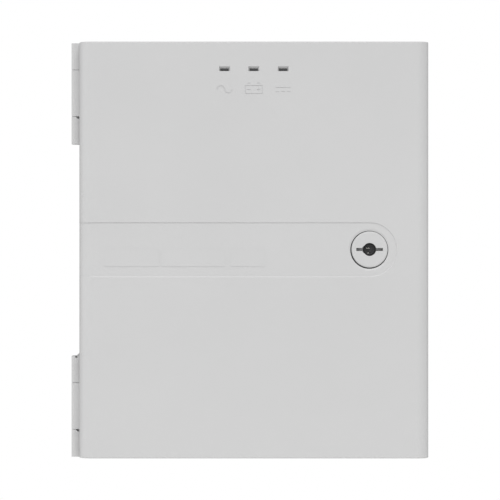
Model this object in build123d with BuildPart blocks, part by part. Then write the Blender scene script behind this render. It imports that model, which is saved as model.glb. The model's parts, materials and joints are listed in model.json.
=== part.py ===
"""Wall cabinet with a hinged door: a battery-backed power supply for a control system.

Frame: +Z up, the wall is the plane Y = 0, the front faces -Y, and the origin is the centre of the
back face. Millimetres. "Depth" is the distance out from the wall, so depth d is the plane Y = -d.
"""

import math
import os

from build123d import *

# ---------------------------------------------------------------- driving dimensions
DOOR_WIDTH = 252.0
DOOR_HEIGHT = 300.0
DOOR_REAR = 64.0  # depth of the door's rear edge
DOOR_FRONT = 88.0  # depth of the door's front face
DOOR_WALL = 2.8
EDGE_ROUND_LEFT = 10.0
EDGE_ROUND_RIGHT = 8.0
EDGE_ROUND_ENDS = 0.8

BOX_WIDTH = 250.0
BOX_HEIGHT = 298.0
BOX_DEPTH = 63.5
BOX_WALL = 2.5
RIM_THICK = 2.1
RIM_REAR = 54.0
RIM_FRONT = 68.0
RIM_GAP = 0.6

HINGE_X = -126.8
KNUCKLE_RADIUS = 5.4
KNUCKLE_CORNER = 1.5
KNUCKLE_TOP = 19.3
KNUCKLE_DOOR = 33.6
KNUCKLE_BOTTOM = 19.8
KNUCKLE_GAP = 0.2
BOX_NOTCH_RADIUS = 6.4  # room in the box for the door's knuckle
DOOR_NOTCH_RADIUS = 8.0  # room in the door for the box's knuckles
JOINT_GROOVE = 0.27
PIN_RADIUS = 1.6
HOLE_CLEARANCE = 0.05
PIN_STOP = 3.0
UPPER_HINGE_TOP = 150.0
LOWER_HINGE_LOW = -150.0

BAND_FLOOR_HALF = 19.3
BAND_TOP_SLOPE = 0.15
BAND_BOTTOM_SLOPE = 0.7
BAND_DEPTH = 0.5
LOCK_X = 83.4
LOCK_Z = 0.4
LOCK_DISC_RADIUS = 13.1
LOCK_DISC_ROUND = 1.1
LOCK_HOLE_RADIUS = 13.7
LOCK_HOLE_SHIFT = -0.25  # the hole sits a little low and left of the lock
LOCK_SLOT_LENGTH = 19.2
LOCK_SLOT_WIDTH = 2.2
LOCK_SLOT_DEPTH = 6.0
LOCK_GAP_DEPTH = 1.5
LOCK_RIM_WIDTH = 1.3
LOCK_RIM_DROP = 0.45
LOCK_SHAFT_RADIUS = 10.2
LOCK_PLUG_RADIUS = 4.65
CAM_REACH = 30.0
CAM_WIDTH = 12.0
CAM_REAR = 55.5
CAM_FRONT = 58.0

WINDOW_X = (-21.0, 0.0, 21.2)
WINDOW_Z = 130.5
WINDOW_WIDTH = 7.9
WINDOW_HEIGHT = 3.6
WINDOW_DEPTH = 2.4
SLIT_WIDTH = 6.0
SLIT_HEIGHT = 2.0
ICON_Z = 115.4
ICON_LINE = 0.45
ICON_WAVE_LINE = 0.8
ICON_WIDTH = 10.8
ICON_WAVE = 2.6
ICON_DASH = 2.4
BATTERY_SIGN_WIDTH = 12.6
BATTERY_SIGN_HEIGHT = 6.1
ENGRAVING = 0.3

BOARD_WIDTH = 190.0
BOARD_HEIGHT = 120.0
BOARD_Z = 72.0
BOARD_REAR = 12.4
BOARD_THICK = 1.6

BATTERY_WIDTH = 151.0
BATTERY_DEPTH = 65.0
BATTERY_HEIGHT = 94.0
BATTERY_X = 15.5
BATTERY_REAR = 4.0
BATTERY_BOTTOM = -140.0
BATTERY_LID = 8.0

WALL_HOLE_X = 110.0
WALL_HOLE_Z = 125.0
WALL_HOLE_RADIUS = 2.5
ENTRY_X = 30.0
ENTRY_Z = -14.0
ENTRY_RADIUS = 13.0

TAMPER_X = 105.0
TAMPER_Z = 67.0
TRIMMER_X = 78.0
TRIMMER_Z = 60.0

# ---------------------------------------------------------------- worked-out dimensions
HINGE_DEPTH = DOOR_REAR
HINGE_FRONT = HINGE_DEPTH + KNUCKLE_RADIUS
HINGE_SIDE = HINGE_X - KNUCKLE_RADIUS
HINGE_LENGTH = KNUCKLE_TOP + KNUCKLE_DOOR + KNUCKLE_BOTTOM + 2 * KNUCKLE_GAP
HINGE_TOPS = (UPPER_HINGE_TOP, LOWER_HINGE_LOW + HINGE_LENGTH)
SKIN = DOOR_FRONT - DOOR_WALL  # depth of the door's inside face
BAND_FLOOR = DOOR_FRONT - BAND_DEPTH
BOARD_FACE = BOARD_REAR + BOARD_THICK
BATTERY_TOP = BATTERY_BOTTOM + BATTERY_HEIGHT
BATTERY_LEFT = BATTERY_X - BATTERY_WIDTH / 2
BATTERY_FRONT = BATTERY_REAR + BATTERY_DEPTH
WINDOW_SILL = WINDOW_Z - WINDOW_HEIGHT / 2
SLIT_Z = WINDOW_SILL + SLIT_HEIGHT / 2

os.makedirs("parts", exist_ok=True)


# ---------------------------------------------------------------- helpers
def at(depth):
    """The plane parallel to the wall at a depth, facing the front: its axes are X and Z."""
    return Plane.XZ.offset(depth)


def slab(x, z, width, height, depth, thick, corner=0.0, mode=Mode.ADD):
    """A rectangular block that starts at a depth and comes forward by thick."""
    with BuildSketch(at(depth)) as outline:
        with Locations((x, z)):
            if corner > 0:
                RectangleRounded(width, height, corner)
            else:
                Rectangle(width, height)
    extrude(outline.sketch, amount=thick, mode=mode)


def disc(x, z, radius, depth, thick, mode=Mode.ADD):
    """A round block that starts at a depth and comes forward by thick."""
    with BuildSketch(at(depth)) as outline:
        with Locations((x, z)):
            Circle(radius)
    extrude(outline.sketch, amount=thick, mode=mode)


def rod(x, depth, radius, low, height, mode=Mode.ADD):
    """An upright round bar."""
    with BuildSketch(Plane.XY.offset(low)) as outline:
        with Locations((x, -depth)):
            Circle(radius)
    extrude(outline.sketch, amount=height, mode=mode)


def block(x, depth, width, thick, low, height, corner=0.0, mode=Mode.ADD):
    """A rectangular block that starts at a height and rises; depth is its middle."""
    with BuildSketch(Plane.XY.offset(low)) as outline:
        with Locations((x, -depth)):
            if corner > 0:
                RectangleRounded(width, thick, corner)
            else:
                Rectangle(width, thick)
    extrude(outline.sketch, amount=height, mode=mode)


def knuckle(web, low, height):
    """One hinge knuckle, squared towards the front, and the web that joins it to its wall."""
    with BuildSketch(Plane.XY.offset(low)) as outline:
        with Locations((HINGE_X - KNUCKLE_RADIUS / 2, -HINGE_DEPTH - KNUCKLE_RADIUS / 2)):
            Rectangle(KNUCKLE_RADIUS, KNUCKLE_RADIUS)
        outer_corner = outline.vertices().group_by(Axis.Y)[0].sort_by(Axis.X)[0]
        fillet(outer_corner, KNUCKLE_CORNER)
        with Locations((HINGE_X, -HINGE_DEPTH)):
            Circle(KNUCKLE_RADIUS)
        with BuildLine():
            Polyline(*web, close=True)
        make_face()
    extrude(outline.sketch, amount=height)


def joint_grooves(top):
    """Small V grooves in front and beside a hinge, where its knuckles meet."""
    upper_joint = top - KNUCKLE_TOP - KNUCKLE_GAP / 2
    lower_joint = upper_joint - KNUCKLE_GAP - KNUCKLE_DOOR
    half = JOINT_GROOVE + KNUCKLE_GAP / 2
    for z in (upper_joint, lower_joint):
        with BuildSketch(Plane.YZ.offset(HINGE_SIDE - 1)) as front_groove:
            with BuildLine():
                Polyline(
                    (-HINGE_FRONT - 0.01, z - half),
                    (-HINGE_FRONT - 0.01, z + half),
                    (-HINGE_FRONT + JOINT_GROOVE, z),
                    close=True,
                )
            make_face()
        extrude(front_groove.sketch, amount=KNUCKLE_RADIUS + 1.5, mode=Mode.SUBTRACT)
        with BuildSketch(at(HINGE_DEPTH)) as side_groove:
            with BuildLine():
                Polyline(
                    (HINGE_SIDE - 0.01, z - half),
                    (HINGE_SIDE - 0.01, z + half),
                    (HINGE_SIDE + JOINT_GROOVE, z),
                    close=True,
                )
            make_face()
        extrude(side_groove.sketch, amount=KNUCKLE_RADIUS + 1, mode=Mode.SUBTRACT)


def pan_screw(x, z, seat, head_radius, head_height, shank_radius, shank_length):
    """A cross-recess screw driven from the front, with its head on a seat at a depth."""
    disc(x, z, shank_radius, seat - shank_length, shank_length)
    with BuildSketch(at(seat)) as head:
        with Locations((x, z)):
            Circle(head_radius)
    extrude(head.sketch, amount=head_height, taper=12)
    for width, height in ((head_radius * 1.1, 0.8), (0.8, head_radius * 1.1)):
        slab(x, z, width, height, seat + head_height * 0.4, head_height, mode=Mode.SUBTRACT)


def lead_radii(points):
    """The largest sensible bend at each inner point of a lead's route."""
    radii = []
    for before, here, after in zip(points, points[1:], points[2:]):
        run_in = Vector(*here) - Vector(*before)
        run_out = Vector(*after) - Vector(*here)
        half_turn = math.radians(run_in.get_angle(run_out)) / 2
        radii.append(0.45 * min(run_in.length, run_out.length) / math.tan(half_turn))
    return radii


def save(name, piece):
    """Label a finished piece and write it."""
    piece.part.label = name
    export_step(piece.part, f"parts/{name}.step")


# ---------------------------------------------------------------- back box
BOX_IN_X = BOX_WIDTH / 2 - BOX_WALL
BOX_IN_Z = BOX_HEIGHT / 2 - BOX_WALL
RIM_OUT_X = DOOR_WIDTH / 2 - DOOR_WALL - RIM_GAP
RIM_OUT_Z = DOOR_HEIGHT / 2 - DOOR_WALL - RIM_GAP
BOX_SIDE = -BOX_WIDTH / 2
BOX_WEB = (
    (HINGE_SIDE, -HINGE_DEPTH),
    (HINGE_SIDE, -57),
    (BOX_SIDE, -44),
    (BOX_SIDE + BOX_WALL, -44),
    (BOX_SIDE + BOX_WALL, -HINGE_DEPTH),
)
BOARD_HOLES = [(x, z) for x in (-88.0, 88.0) for z in (19.0, 125.0)]
WALL_HOLES = [(x, z) for x in (-WALL_HOLE_X, WALL_HOLE_X) for z in (-WALL_HOLE_Z, WALL_HOLE_Z)]
STRAP_FEET_X = (BATTERY_LEFT - 10.5, BATTERY_LEFT + BATTERY_WIDTH + 10.5)
STRAP_Z = -93.0
STRAP_FOOT = 8.0
PIN_BORE = PIN_RADIUS + HOLE_CLEARANCE
RELIEF_LENGTH = 2.4
RELIEF_DROP = 1.5
RELIEF_DEPTH = 3.0
GUSSET_REAR = 48.0
GUSSET_FRONT = 61.5
GUSSET_RISE = 4.0
CLAMP_X = -97.0
CLAMP_Z = -112.0
CLAMP_HALF = 12.0
KNOCKOUT_RADIUS = 10.25
KNOCKOUT_DEPTH = 32.0
KNOCKOUT_X = (-98.0, -70.0, 70.0, 98.0)

with BuildPart() as back_box:
    slab(0, 0, BOX_WIDTH, BOX_HEIGHT, 0, BOX_DEPTH, corner=3)
    with BuildSketch(at(RIM_REAR)) as rim:
        RectangleRounded(2 * RIM_OUT_X, 2 * RIM_OUT_Z, 2)
    extrude(amount=RIM_FRONT - RIM_REAR)
    slab(0, 0, 2 * BOX_IN_X, 2 * BOX_IN_Z, BOX_WALL, RIM_REAR - BOX_WALL, corner=1.5, mode=Mode.SUBTRACT)
    slab(
        0,
        0,
        2 * (RIM_OUT_X - RIM_THICK),
        2 * (RIM_OUT_Z - RIM_THICK),
        RIM_REAR,
        RIM_FRONT - RIM_REAR,
        corner=1,
        mode=Mode.SUBTRACT,
    )
    fillet(back_box.faces().sort_by(Axis.Y)[-1].outer_wire().edges(), 1.2)
    # hinge knuckles above and below the door's own, with room cut for the door's knuckle
    for hinge_top in HINGE_TOPS:
        hinge_low = hinge_top - HINGE_LENGTH
        room_low = hinge_low + KNUCKLE_BOTTOM
        room_height = KNUCKLE_DOOR + 2 * KNUCKLE_GAP
        bore_low = hinge_low + PIN_STOP
        knuckle(BOX_WEB, hinge_top - KNUCKLE_TOP, KNUCKLE_TOP)
        knuckle(BOX_WEB, hinge_low, KNUCKLE_BOTTOM)
        rod(HINGE_X, HINGE_DEPTH, BOX_NOTCH_RADIUS, room_low, room_height, mode=Mode.SUBTRACT)
        rod(HINGE_X, HINGE_DEPTH, PIN_BORE, bore_low, HINGE_LENGTH, mode=Mode.SUBTRACT)
        joint_grooves(hinge_top)
        # a small sloped relief beside the door, under the door's knuckle
        with BuildSketch(at(HINGE_FRONT - RELIEF_DEPTH)) as relief:
            with BuildLine():
                Polyline(
                    (HINGE_X - RELIEF_LENGTH, room_low),
                    (HINGE_X + 1.0, room_low),
                    (HINGE_X + 1.0, room_low - RELIEF_DROP),
                    (HINGE_X - 0.8, room_low - RELIEF_DROP),
                    close=True,
                )
            make_face()
        extrude(amount=RELIEF_DEPTH + 1, mode=Mode.SUBTRACT)
    # the lower hinge carries a gusset up the box's side, with a slot that shows its pin
    with BuildSketch(at(GUSSET_REAR)) as gusset:
        with BuildLine():
            Polyline(
                (HINGE_X - 2.2, HINGE_TOPS[1] - 1),
                (HINGE_X - 2.2, HINGE_TOPS[1]),
                (BOX_SIDE, HINGE_TOPS[1] + GUSSET_RISE),
                (BOX_SIDE + 1, HINGE_TOPS[1] - 1),
                close=True,
            )
        make_face()
    extrude(amount=GUSSET_FRONT - GUSSET_REAR)
    slab(HINGE_X - 2.0, HINGE_TOPS[1] - 0.7, 1.6, 1.0, HINGE_DEPTH + 2, KNUCKLE_RADIUS, mode=Mode.SUBTRACT)
    # board posts, wall fixing bosses, strap and clamp bosses
    for x, z in BOARD_HOLES:
        disc(x, z, 3.6, BOX_WALL, BOARD_REAR - BOX_WALL)
        disc(x, z, 1.25, BOX_WALL + 1.0, BOARD_REAR, mode=Mode.SUBTRACT)
    for x, z in WALL_HOLES:
        disc(x, z, 7.0, BOX_WALL, 3.0)
        disc(x, z, WALL_HOLE_RADIUS, -1.0, 10.0, mode=Mode.SUBTRACT)
    for x in STRAP_FEET_X:
        disc(x, STRAP_Z, 5.5, BOX_WALL, STRAP_FOOT - BOX_WALL)
        disc(x, STRAP_Z, 1.45, BOX_WALL + 0.5, STRAP_FOOT, mode=Mode.SUBTRACT)
    slab(CLAMP_X, CLAMP_Z, 2 * CLAMP_HALF, 5, BOX_WALL, 6.0)
    for side in (-1, 1):
        disc(CLAMP_X + side * CLAMP_HALF, CLAMP_Z, 4.0, BOX_WALL, 14.0)
        disc(CLAMP_X + side * CLAMP_HALF, CLAMP_Z, 1.25, BOX_WALL + 1.0, 16.0, mode=Mode.SUBTRACT)
    # battery ledges: pads on the back wall and ribs on the floor
    for x in (-45.0, BATTERY_X, 76.0):
        slab(x, BATTERY_BOTTOM + 47, 4, 90, BOX_WALL, BATTERY_REAR - BOX_WALL)
        block(x, 31, 3, 57, -BOX_IN_Z, BATTERY_BOTTOM + BOX_IN_Z)
    # catch for the lock's cam, and the tamper switch's pedestal
    slab((106.0 + BOX_IN_X) / 2, LOCK_Z, BOX_IN_X - 106.0 + 0.2, 26, 58.5, 3.5)
    slab((112.0 + BOX_IN_X) / 2, -12, BOX_IN_X - 112.0 + 0.2, 2, 40, 18.5)
    slab(TAMPER_X, TAMPER_Z, 15, 21, BOX_WALL, 27.5)
    # rear cable entry
    disc(ENTRY_X, ENTRY_Z, ENTRY_RADIUS, -1.0, 10.0, mode=Mode.SUBTRACT)
    # vents and knock-out rings in the top and bottom walls
    for wall_low in (BOX_IN_Z - 0.5, -BOX_HEIGHT / 2 - 0.5):
        with BuildSketch(Plane.XY.offset(wall_low)) as vents:
            with Locations((0, -33)):
                with GridLocations(8, 0, 13, 1):
                    SlotOverall(26, 3, rotation=90)
        extrude(amount=BOX_WALL + 1.0, mode=Mode.SUBTRACT)
    for groove_low in (BOX_HEIGHT / 2 - 0.7, -BOX_HEIGHT / 2):
        with BuildSketch(Plane.XY.offset(groove_low)) as rings:
            with Locations(*[(x, -KNOCKOUT_DEPTH) for x in KNOCKOUT_X]):
                Circle(KNOCKOUT_RADIUS)
                Circle(KNOCKOUT_RADIUS - 0.9, mode=Mode.SUBTRACT)
        extrude(amount=0.7, mode=Mode.SUBTRACT)
save("back_box", back_box)

for hinge_name, hinge_top in zip(("upper_hinge_pin", "lower_hinge_pin"), HINGE_TOPS):
    with BuildPart() as hinge_pin:
        pin_low = hinge_top - HINGE_LENGTH + PIN_STOP + 0.1
        rod(HINGE_X, HINGE_DEPTH, PIN_RADIUS, pin_low, HINGE_LENGTH - PIN_STOP - 0.6)
        chamfer(hinge_pin.edges(), 0.4)
    save(hinge_name, hinge_pin)

with BuildPart() as entry_grommet:
    disc(ENTRY_X, ENTRY_Z, ENTRY_RADIUS, 0.3, 7.0)
    disc(ENTRY_X, ENTRY_Z, ENTRY_RADIUS + 2.5, BOX_WALL, 2.4)
    disc(ENTRY_X, ENTRY_Z, ENTRY_RADIUS - 2.6, -1.0, 12.0, mode=Mode.SUBTRACT)
    fillet(entry_grommet.edges().filter_by(GeomType.CIRCLE).sort_by(Axis.Y)[:2], 0.8)
save("entry_grommet", entry_grommet)

# ---------------------------------------------------------------- main board and what it carries
with BuildPart() as main_board:
    slab(0, BOARD_Z, BOARD_WIDTH, BOARD_HEIGHT, BOARD_REAR, BOARD_THICK, corner=3)
    for x, z in BOARD_HOLES:
        disc(x, z, 1.7, BOARD_REAR - 1, 5, mode=Mode.SUBTRACT)
save("main_board", main_board)

with BuildPart() as board_screws:
    for x, z in BOARD_HOLES:
        pan_screw(x, z, BOARD_FACE, 3.0, 2.2, 1.2, 8.0)
save("board_screws", board_screws)

WAY_PITCH = 8.0
WAY_Z = 20.0
BLOCK_HEIGHT = 12.5
BLOCK_DEPTH = 14.0
MAINS_WAYS = [-78.0 + WAY_PITCH * way for way in range(3)]
OUTPUT_WAYS = [4.0 + WAY_PITCH * way for way in range(8)]


def terminal_block(ways):
    """A row of screw terminals, with wire mouths in the lower face and wells for the screws."""
    middle = (ways[0] + ways[-1]) / 2
    width = ways[-1] - ways[0] + WAY_PITCH
    slab(middle, WAY_Z, width, BLOCK_HEIGHT, BOARD_FACE, BLOCK_DEPTH * 0.62)
    slab(middle, WAY_Z + 1.2, width, BLOCK_HEIGHT - 2.4, BOARD_FACE, BLOCK_DEPTH)
    for x in ways:
        disc(x, WAY_Z + 1.2, 2.7, BOARD_FACE + 6, BLOCK_DEPTH, mode=Mode.SUBTRACT)
        mouth_low = WAY_Z - BLOCK_HEIGHT / 2 - 1
        block(x, BOARD_FACE + 4.2, 5.2, 5.0, mouth_low, 7, mode=Mode.SUBTRACT)


with BuildPart() as mains_terminal_block:
    terminal_block(MAINS_WAYS)
save("mains_terminal_block", mains_terminal_block)

with BuildPart() as output_terminal_block:
    terminal_block(OUTPUT_WAYS)
save("output_terminal_block", output_terminal_block)

with BuildPart() as terminal_screws:
    for x in MAINS_WAYS + OUTPUT_WAYS:
        disc(x, WAY_Z + 1.2, 2.55, BOARD_FACE + 6, 3.0)
        slab(x, WAY_Z + 1.2, 4.4, 0.8, BOARD_FACE + 8, 2.0, mode=Mode.SUBTRACT)
save("terminal_screws", terminal_screws)

FUSE_X = -70.0
FUSE_Z = 40.0
FUSE_DEPTH = BOARD_FACE + 6.0
FUSE_LENGTH = 20.0
FUSE_CAP = 5.0
FUSE_RADIUS = 2.6

with BuildPart() as fuse_tube:
    with BuildSketch(Plane.YZ.offset(FUSE_X - FUSE_LENGTH / 2 + FUSE_CAP)):
        with Locations((-FUSE_DEPTH, FUSE_Z)):
            Circle(FUSE_RADIUS - 0.15)
            Circle(FUSE_RADIUS - 0.7, mode=Mode.SUBTRACT)
    extrude(amount=FUSE_LENGTH - 2 * FUSE_CAP)
save("fuse_tube", fuse_tube)

with BuildPart() as fuse_caps:
    for x in (FUSE_X - FUSE_LENGTH / 2, FUSE_X + FUSE_LENGTH / 2 - FUSE_CAP):
        with BuildSketch(Plane.YZ.offset(x)) as cap:
            with Locations((-FUSE_DEPTH, FUSE_Z)):
                Circle(FUSE_RADIUS)
        extrude(amount=FUSE_CAP)
save("fuse_caps", fuse_caps)

with BuildPart() as fuse_clips:
    for x in (FUSE_X - FUSE_LENGTH / 2 + 2.5, FUSE_X + FUSE_LENGTH / 2 - 2.5):
        slab(x, FUSE_Z, 4.0, 6.8, BOARD_FACE, 8.6)
        slab(x, FUSE_Z, 6.0, 3.6, FUSE_DEPTH, 8.0, mode=Mode.SUBTRACT)
    with BuildSketch(Plane.YZ.offset(FUSE_X - FUSE_LENGTH)):
        with Locations((-FUSE_DEPTH, FUSE_Z)):
            Circle(FUSE_RADIUS + 0.02)
    extrude(amount=2 * FUSE_LENGTH, mode=Mode.SUBTRACT)
save("fuse_clips", fuse_clips)

CHOKE_X = -76.0
CHOKE_Z = 68.0
CHOKE_REAR = BOARD_FACE + 2.2
CHOKE_HEIGHT = 8.0
CHOKE_INNER = 5.6
CHOKE_OUTER = 11.0
CHOKE_WIRE = 1.6
CHOKE_MIDDLE = (CHOKE_X, -(CHOKE_REAR + CHOKE_HEIGHT / 2), CHOKE_Z)

with BuildPart() as choke_core:
    disc(CHOKE_X, CHOKE_Z, CHOKE_OUTER, CHOKE_REAR, CHOKE_HEIGHT)
    disc(CHOKE_X, CHOKE_Z, CHOKE_INNER, CHOKE_REAR - 1, CHOKE_HEIGHT + 2, mode=Mode.SUBTRACT)
save("choke_core", choke_core)

with BuildPart() as choke_windings:
    for start in (35, 215):
        for turn in range(9):
            angle = math.radians(start + turn * 13.75)
            outward = (math.cos(angle), 0, math.sin(angle))
            around = (-math.sin(angle), 0, math.cos(angle))
            with BuildSketch(Plane(CHOKE_MIDDLE, x_dir=outward, z_dir=around)) as loop:
                with Locations(((CHOKE_INNER + CHOKE_OUTER) / 2, 0)):
                    width = CHOKE_OUTER - CHOKE_INNER + 0.1
                    height = CHOKE_HEIGHT + 0.1
                    RectangleRounded(width + 2 * CHOKE_WIRE, height + 2 * CHOKE_WIRE, 1.4)
                    Rectangle(width, height, mode=Mode.SUBTRACT)
            extrude(amount=0.55, both=True)
save("choke_windings", choke_windings)

TRANSFORMER_X = -22.0
TRANSFORMER_Z = 88.0
CORE_WIDTH = 40.0
CORE_THICK = 13.0
CORE_DEPTH = 32.0
CORE_YOKE = 6.0
LEG_WIDTH = 12.0
OUTER_LEG = 7.0

with BuildPart() as transformer_core:
    core_middle = BOARD_FACE + 2 + CORE_DEPTH / 2
    core_low = TRANSFORMER_Z - CORE_THICK / 2
    block(TRANSFORMER_X, core_middle, CORE_WIDTH, CORE_DEPTH, core_low, CORE_THICK, corner=1)
    window_width = (CORE_WIDTH - LEG_WIDTH) / 2 - OUTER_LEG
    window_depth = CORE_DEPTH - 2 * CORE_YOKE
    for side in (-1, 1):
        window_x = TRANSFORMER_X + side * (LEG_WIDTH + window_width) / 2
        block(
            window_x,
            core_middle,
            window_width,
            window_depth,
            core_low - 1,
            CORE_THICK + 2,
            mode=Mode.SUBTRACT,
        )
save("transformer_core", transformer_core)

with BuildPart() as transformer_coil:
    coil_rear = BOARD_FACE + 2 + CORE_YOKE + 0.1
    coil_depth = window_depth - 0.2
    slab(TRANSFORMER_X, TRANSFORMER_Z, 25.0, 28.0, coil_rear + 1.2, coil_depth - 2.4, corner=3)
    for flange in (coil_rear, coil_rear + coil_depth - 1.2):
        slab(TRANSFORMER_X, TRANSFORMER_Z, 25.6, 31.0, flange, 1.2, corner=1)
    for side in (-1, 1):
        foot_z = TRANSFORMER_Z + side * 13.5
        slab(TRANSFORMER_X, foot_z, 25.6, 4.0, BOARD_FACE, coil_rear - BOARD_FACE + 0.5)
    slab(
        TRANSFORMER_X,
        TRANSFORMER_Z,
        LEG_WIDTH + 0.2,
        CORE_THICK + 0.2,
        BOARD_FACE - 1,
        CORE_DEPTH + 4,
        mode=Mode.SUBTRACT,
    )
save("transformer_coil", transformer_coil)


def can_capacitor(x, z, radius, height):
    """An electrolytic can: crimped near the board, with a scored top."""
    disc(x, z, radius, BOARD_FACE, height)
    with BuildSketch(at(BOARD_FACE + height * 0.08)) as groove:
        with Locations((x, z)):
            Circle(radius + 1)
            Circle(radius * 0.93, mode=Mode.SUBTRACT)
    extrude(groove.sketch, amount=1.0, mode=Mode.SUBTRACT)
    disc(x, z, radius * 0.8, BOARD_FACE + height - 0.3, 1.0, mode=Mode.SUBTRACT)


with BuildPart() as bulk_capacitor:
    can_capacitor(-62.0, 104.0, 11.0, 38.0)
save("bulk_capacitor", bulk_capacitor)

with BuildPart() as output_capacitors:
    for x in (14.0, 28.0, 42.0):
        can_capacitor(x, 50.0, 5.0, 20.0)
save("output_capacitors", output_capacitors)

SINK_X = 40.0
SINK_Z = 86.0
SINK_WIDTH = 44.0
SINK_PLATE = 4.0
SINK_FIN = 15.0
SINK_DEPTH = 28.0
DEVICE_X = SINK_X
DEVICE_DEPTH = BOARD_FACE + 9.0

with BuildPart() as heat_sink:
    slab(SINK_X, SINK_Z, SINK_WIDTH, SINK_PLATE, BOARD_FACE, SINK_DEPTH)
    for fin in range(8):
        fin_x = SINK_X - SINK_WIDTH / 2 + 0.9 + fin * (SINK_WIDTH - 1.8) / 7
        fin_z = SINK_Z + (SINK_PLATE + SINK_FIN) / 2 - 0.2
        slab(fin_x, fin_z, 1.6, SINK_FIN + 0.4, BOARD_FACE, SINK_DEPTH)
    rod(DEVICE_X, DEVICE_DEPTH + 12.5, 1.5, SINK_Z - SINK_PLATE, 2 * SINK_PLATE, mode=Mode.SUBTRACT)
save("heat_sink", heat_sink)

with BuildPart() as power_transistor:
    device_face = SINK_Z - SINK_PLATE / 2
    block(DEVICE_X, DEVICE_DEPTH + 4.5, 10.2, 9.0, device_face - 4.5, 4.45)
    block(DEVICE_X, DEVICE_DEPTH + 12.0, 10.2, 6.5, device_face - 1.35, 1.3)
    for pin in (-2.54, 0, 2.54):
        pin_middle = (BOARD_FACE + DEVICE_DEPTH) / 2
        block(DEVICE_X + pin, pin_middle, 0.9, DEVICE_DEPTH - BOARD_FACE, device_face - 2.8, 0.6)
    rod(DEVICE_X, DEVICE_DEPTH + 12.5, 1.6, device_face - 3, 6, mode=Mode.SUBTRACT)
save("power_transistor", power_transistor)

with BuildPart() as transistor_screw:
    rod(DEVICE_X, DEVICE_DEPTH + 12.5, 1.4, device_face - 1.4, 5.2)
    rod(DEVICE_X, DEVICE_DEPTH + 12.5, 2.6, device_face - 3.5, 2.1)
    block(DEVICE_X, DEVICE_DEPTH + 12.5, 4.2, 0.8, device_face - 4, 1.4, 0, Mode.SUBTRACT)
save("transistor_screw", transistor_screw)

CHIPS = ((18.0, 70.0, 10.0, 6.0), (62.0, 66.0, 7.0, 7.0), (-30.0, 52.0, 14.0, 7.0))

with BuildPart() as control_chips:
    for x, z, width, height in CHIPS:
        slab(x, z, width, height, BOARD_FACE, 1.8)
    chamfer(control_chips.faces().sort_by(Axis.Y)[:3].edges(), 0.3)
save("control_chips", control_chips)

with BuildPart() as trimmer_body:
    slab(TRIMMER_X, TRIMMER_Z, 9.5, 9.5, BOARD_FACE, 5.0)
    disc(TRIMMER_X, TRIMMER_Z, 3.25, BOARD_FACE + 1.5, 5.0, mode=Mode.SUBTRACT)
save("trimmer_body", trimmer_body)

with BuildPart() as trimmer_rotor:
    disc(TRIMMER_X, TRIMMER_Z, 3.2, BOARD_FACE + 1.6, 3.8)
    slab(TRIMMER_X, TRIMMER_Z, 5.2, 0.9, BOARD_FACE + 4.2, 3.0, mode=Mode.SUBTRACT)
    slab(TRIMMER_X, TRIMMER_Z, 0.9, 2.6, BOARD_FACE + 4.2, 3.0, mode=Mode.SUBTRACT)
save("trimmer_rotor", trimmer_rotor)

RISER_TOP = SLIT_Z - 2.0
RISER_FRONT = 76.0
LED_RADIUS = 1.5

with BuildPart() as riser_board:
    riser_middle = (BOARD_FACE + RISER_FRONT) / 2
    block(0, riser_middle, 64, RISER_FRONT - BOARD_FACE, RISER_TOP - BOARD_THICK, BOARD_THICK)
    for side in (-1, 1):
        block(side * 26, riser_middle + 8, 8, 16, RISER_TOP - 3, 6, 2, Mode.SUBTRACT)
save("riser_board", riser_board)

with BuildPart() as riser_headers:
    for side in (-1, 1):
        slab(side * 12, RISER_TOP - BOARD_THICK - 1.5, 15, 3.0, BOARD_FACE, 5.0)
save("riser_headers", riser_headers)

with BuildPart() as status_leds:
    for x in WINDOW_X:
        block(x, RISER_FRONT - 3, 4.6, 5, RISER_TOP, 4.0)
        disc(x, SLIT_Z, LED_RADIUS, RISER_FRONT - 1, 4.0)
    fillet(status_leds.faces().sort_by(Axis.Y)[:3].edges(), 1.1)
save("status_leds", status_leds)

SHIELD_X = -70.0
SHIELD_Z = 32.0
SHIELD_WIDTH = 29.0
SHIELD_HEIGHT = 34.0
SHIELD_FRONT = 34.0

with BuildPart() as mains_shield:
    slab(SHIELD_X, SHIELD_Z, SHIELD_WIDTH, SHIELD_HEIGHT, BOARD_FACE, SHIELD_FRONT - BOARD_FACE, corner=1.5)
    block(
        SHIELD_X,
        (BOARD_FACE + SHIELD_FRONT - 1.5) / 2 - 0.5,
        SHIELD_WIDTH - 2.4,
        SHIELD_FRONT - BOARD_FACE - 0.5,
        SHIELD_Z - SHIELD_HEIGHT,
        2 * SHIELD_HEIGHT,
        mode=Mode.SUBTRACT,
    )
    for row in range(4):
        row_z = SHIELD_Z - 10.5 + 7 * row
        slab(SHIELD_X, row_z, 20, 2.4, SHIELD_FRONT - 4, 6, corner=1.1, mode=Mode.SUBTRACT)
save("mains_shield", mains_shield)

# ---------------------------------------------------------------- cable clamp
with BuildPart() as cable_clamp:
    slab(CLAMP_X, CLAMP_Z, 2 * CLAMP_HALF + 8, 9, BOX_WALL + 14.0, 5.0, corner=3)
    rod(CLAMP_X, BOX_WALL + 12.5, 5.0, CLAMP_Z - 6, 12, mode=Mode.SUBTRACT)
    for side in (-1, 1):
        disc(CLAMP_X + side * CLAMP_HALF, CLAMP_Z, 1.7, BOX_WALL, 30.0, mode=Mode.SUBTRACT)
save("cable_clamp", cable_clamp)

with BuildPart() as clamp_screws:
    for side in (-1, 1):
        pan_screw(CLAMP_X + side * CLAMP_HALF, CLAMP_Z, BOX_WALL + 19.0, 3.0, 2.2, 1.2, 16.0)
save("clamp_screws", clamp_screws)

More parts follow.
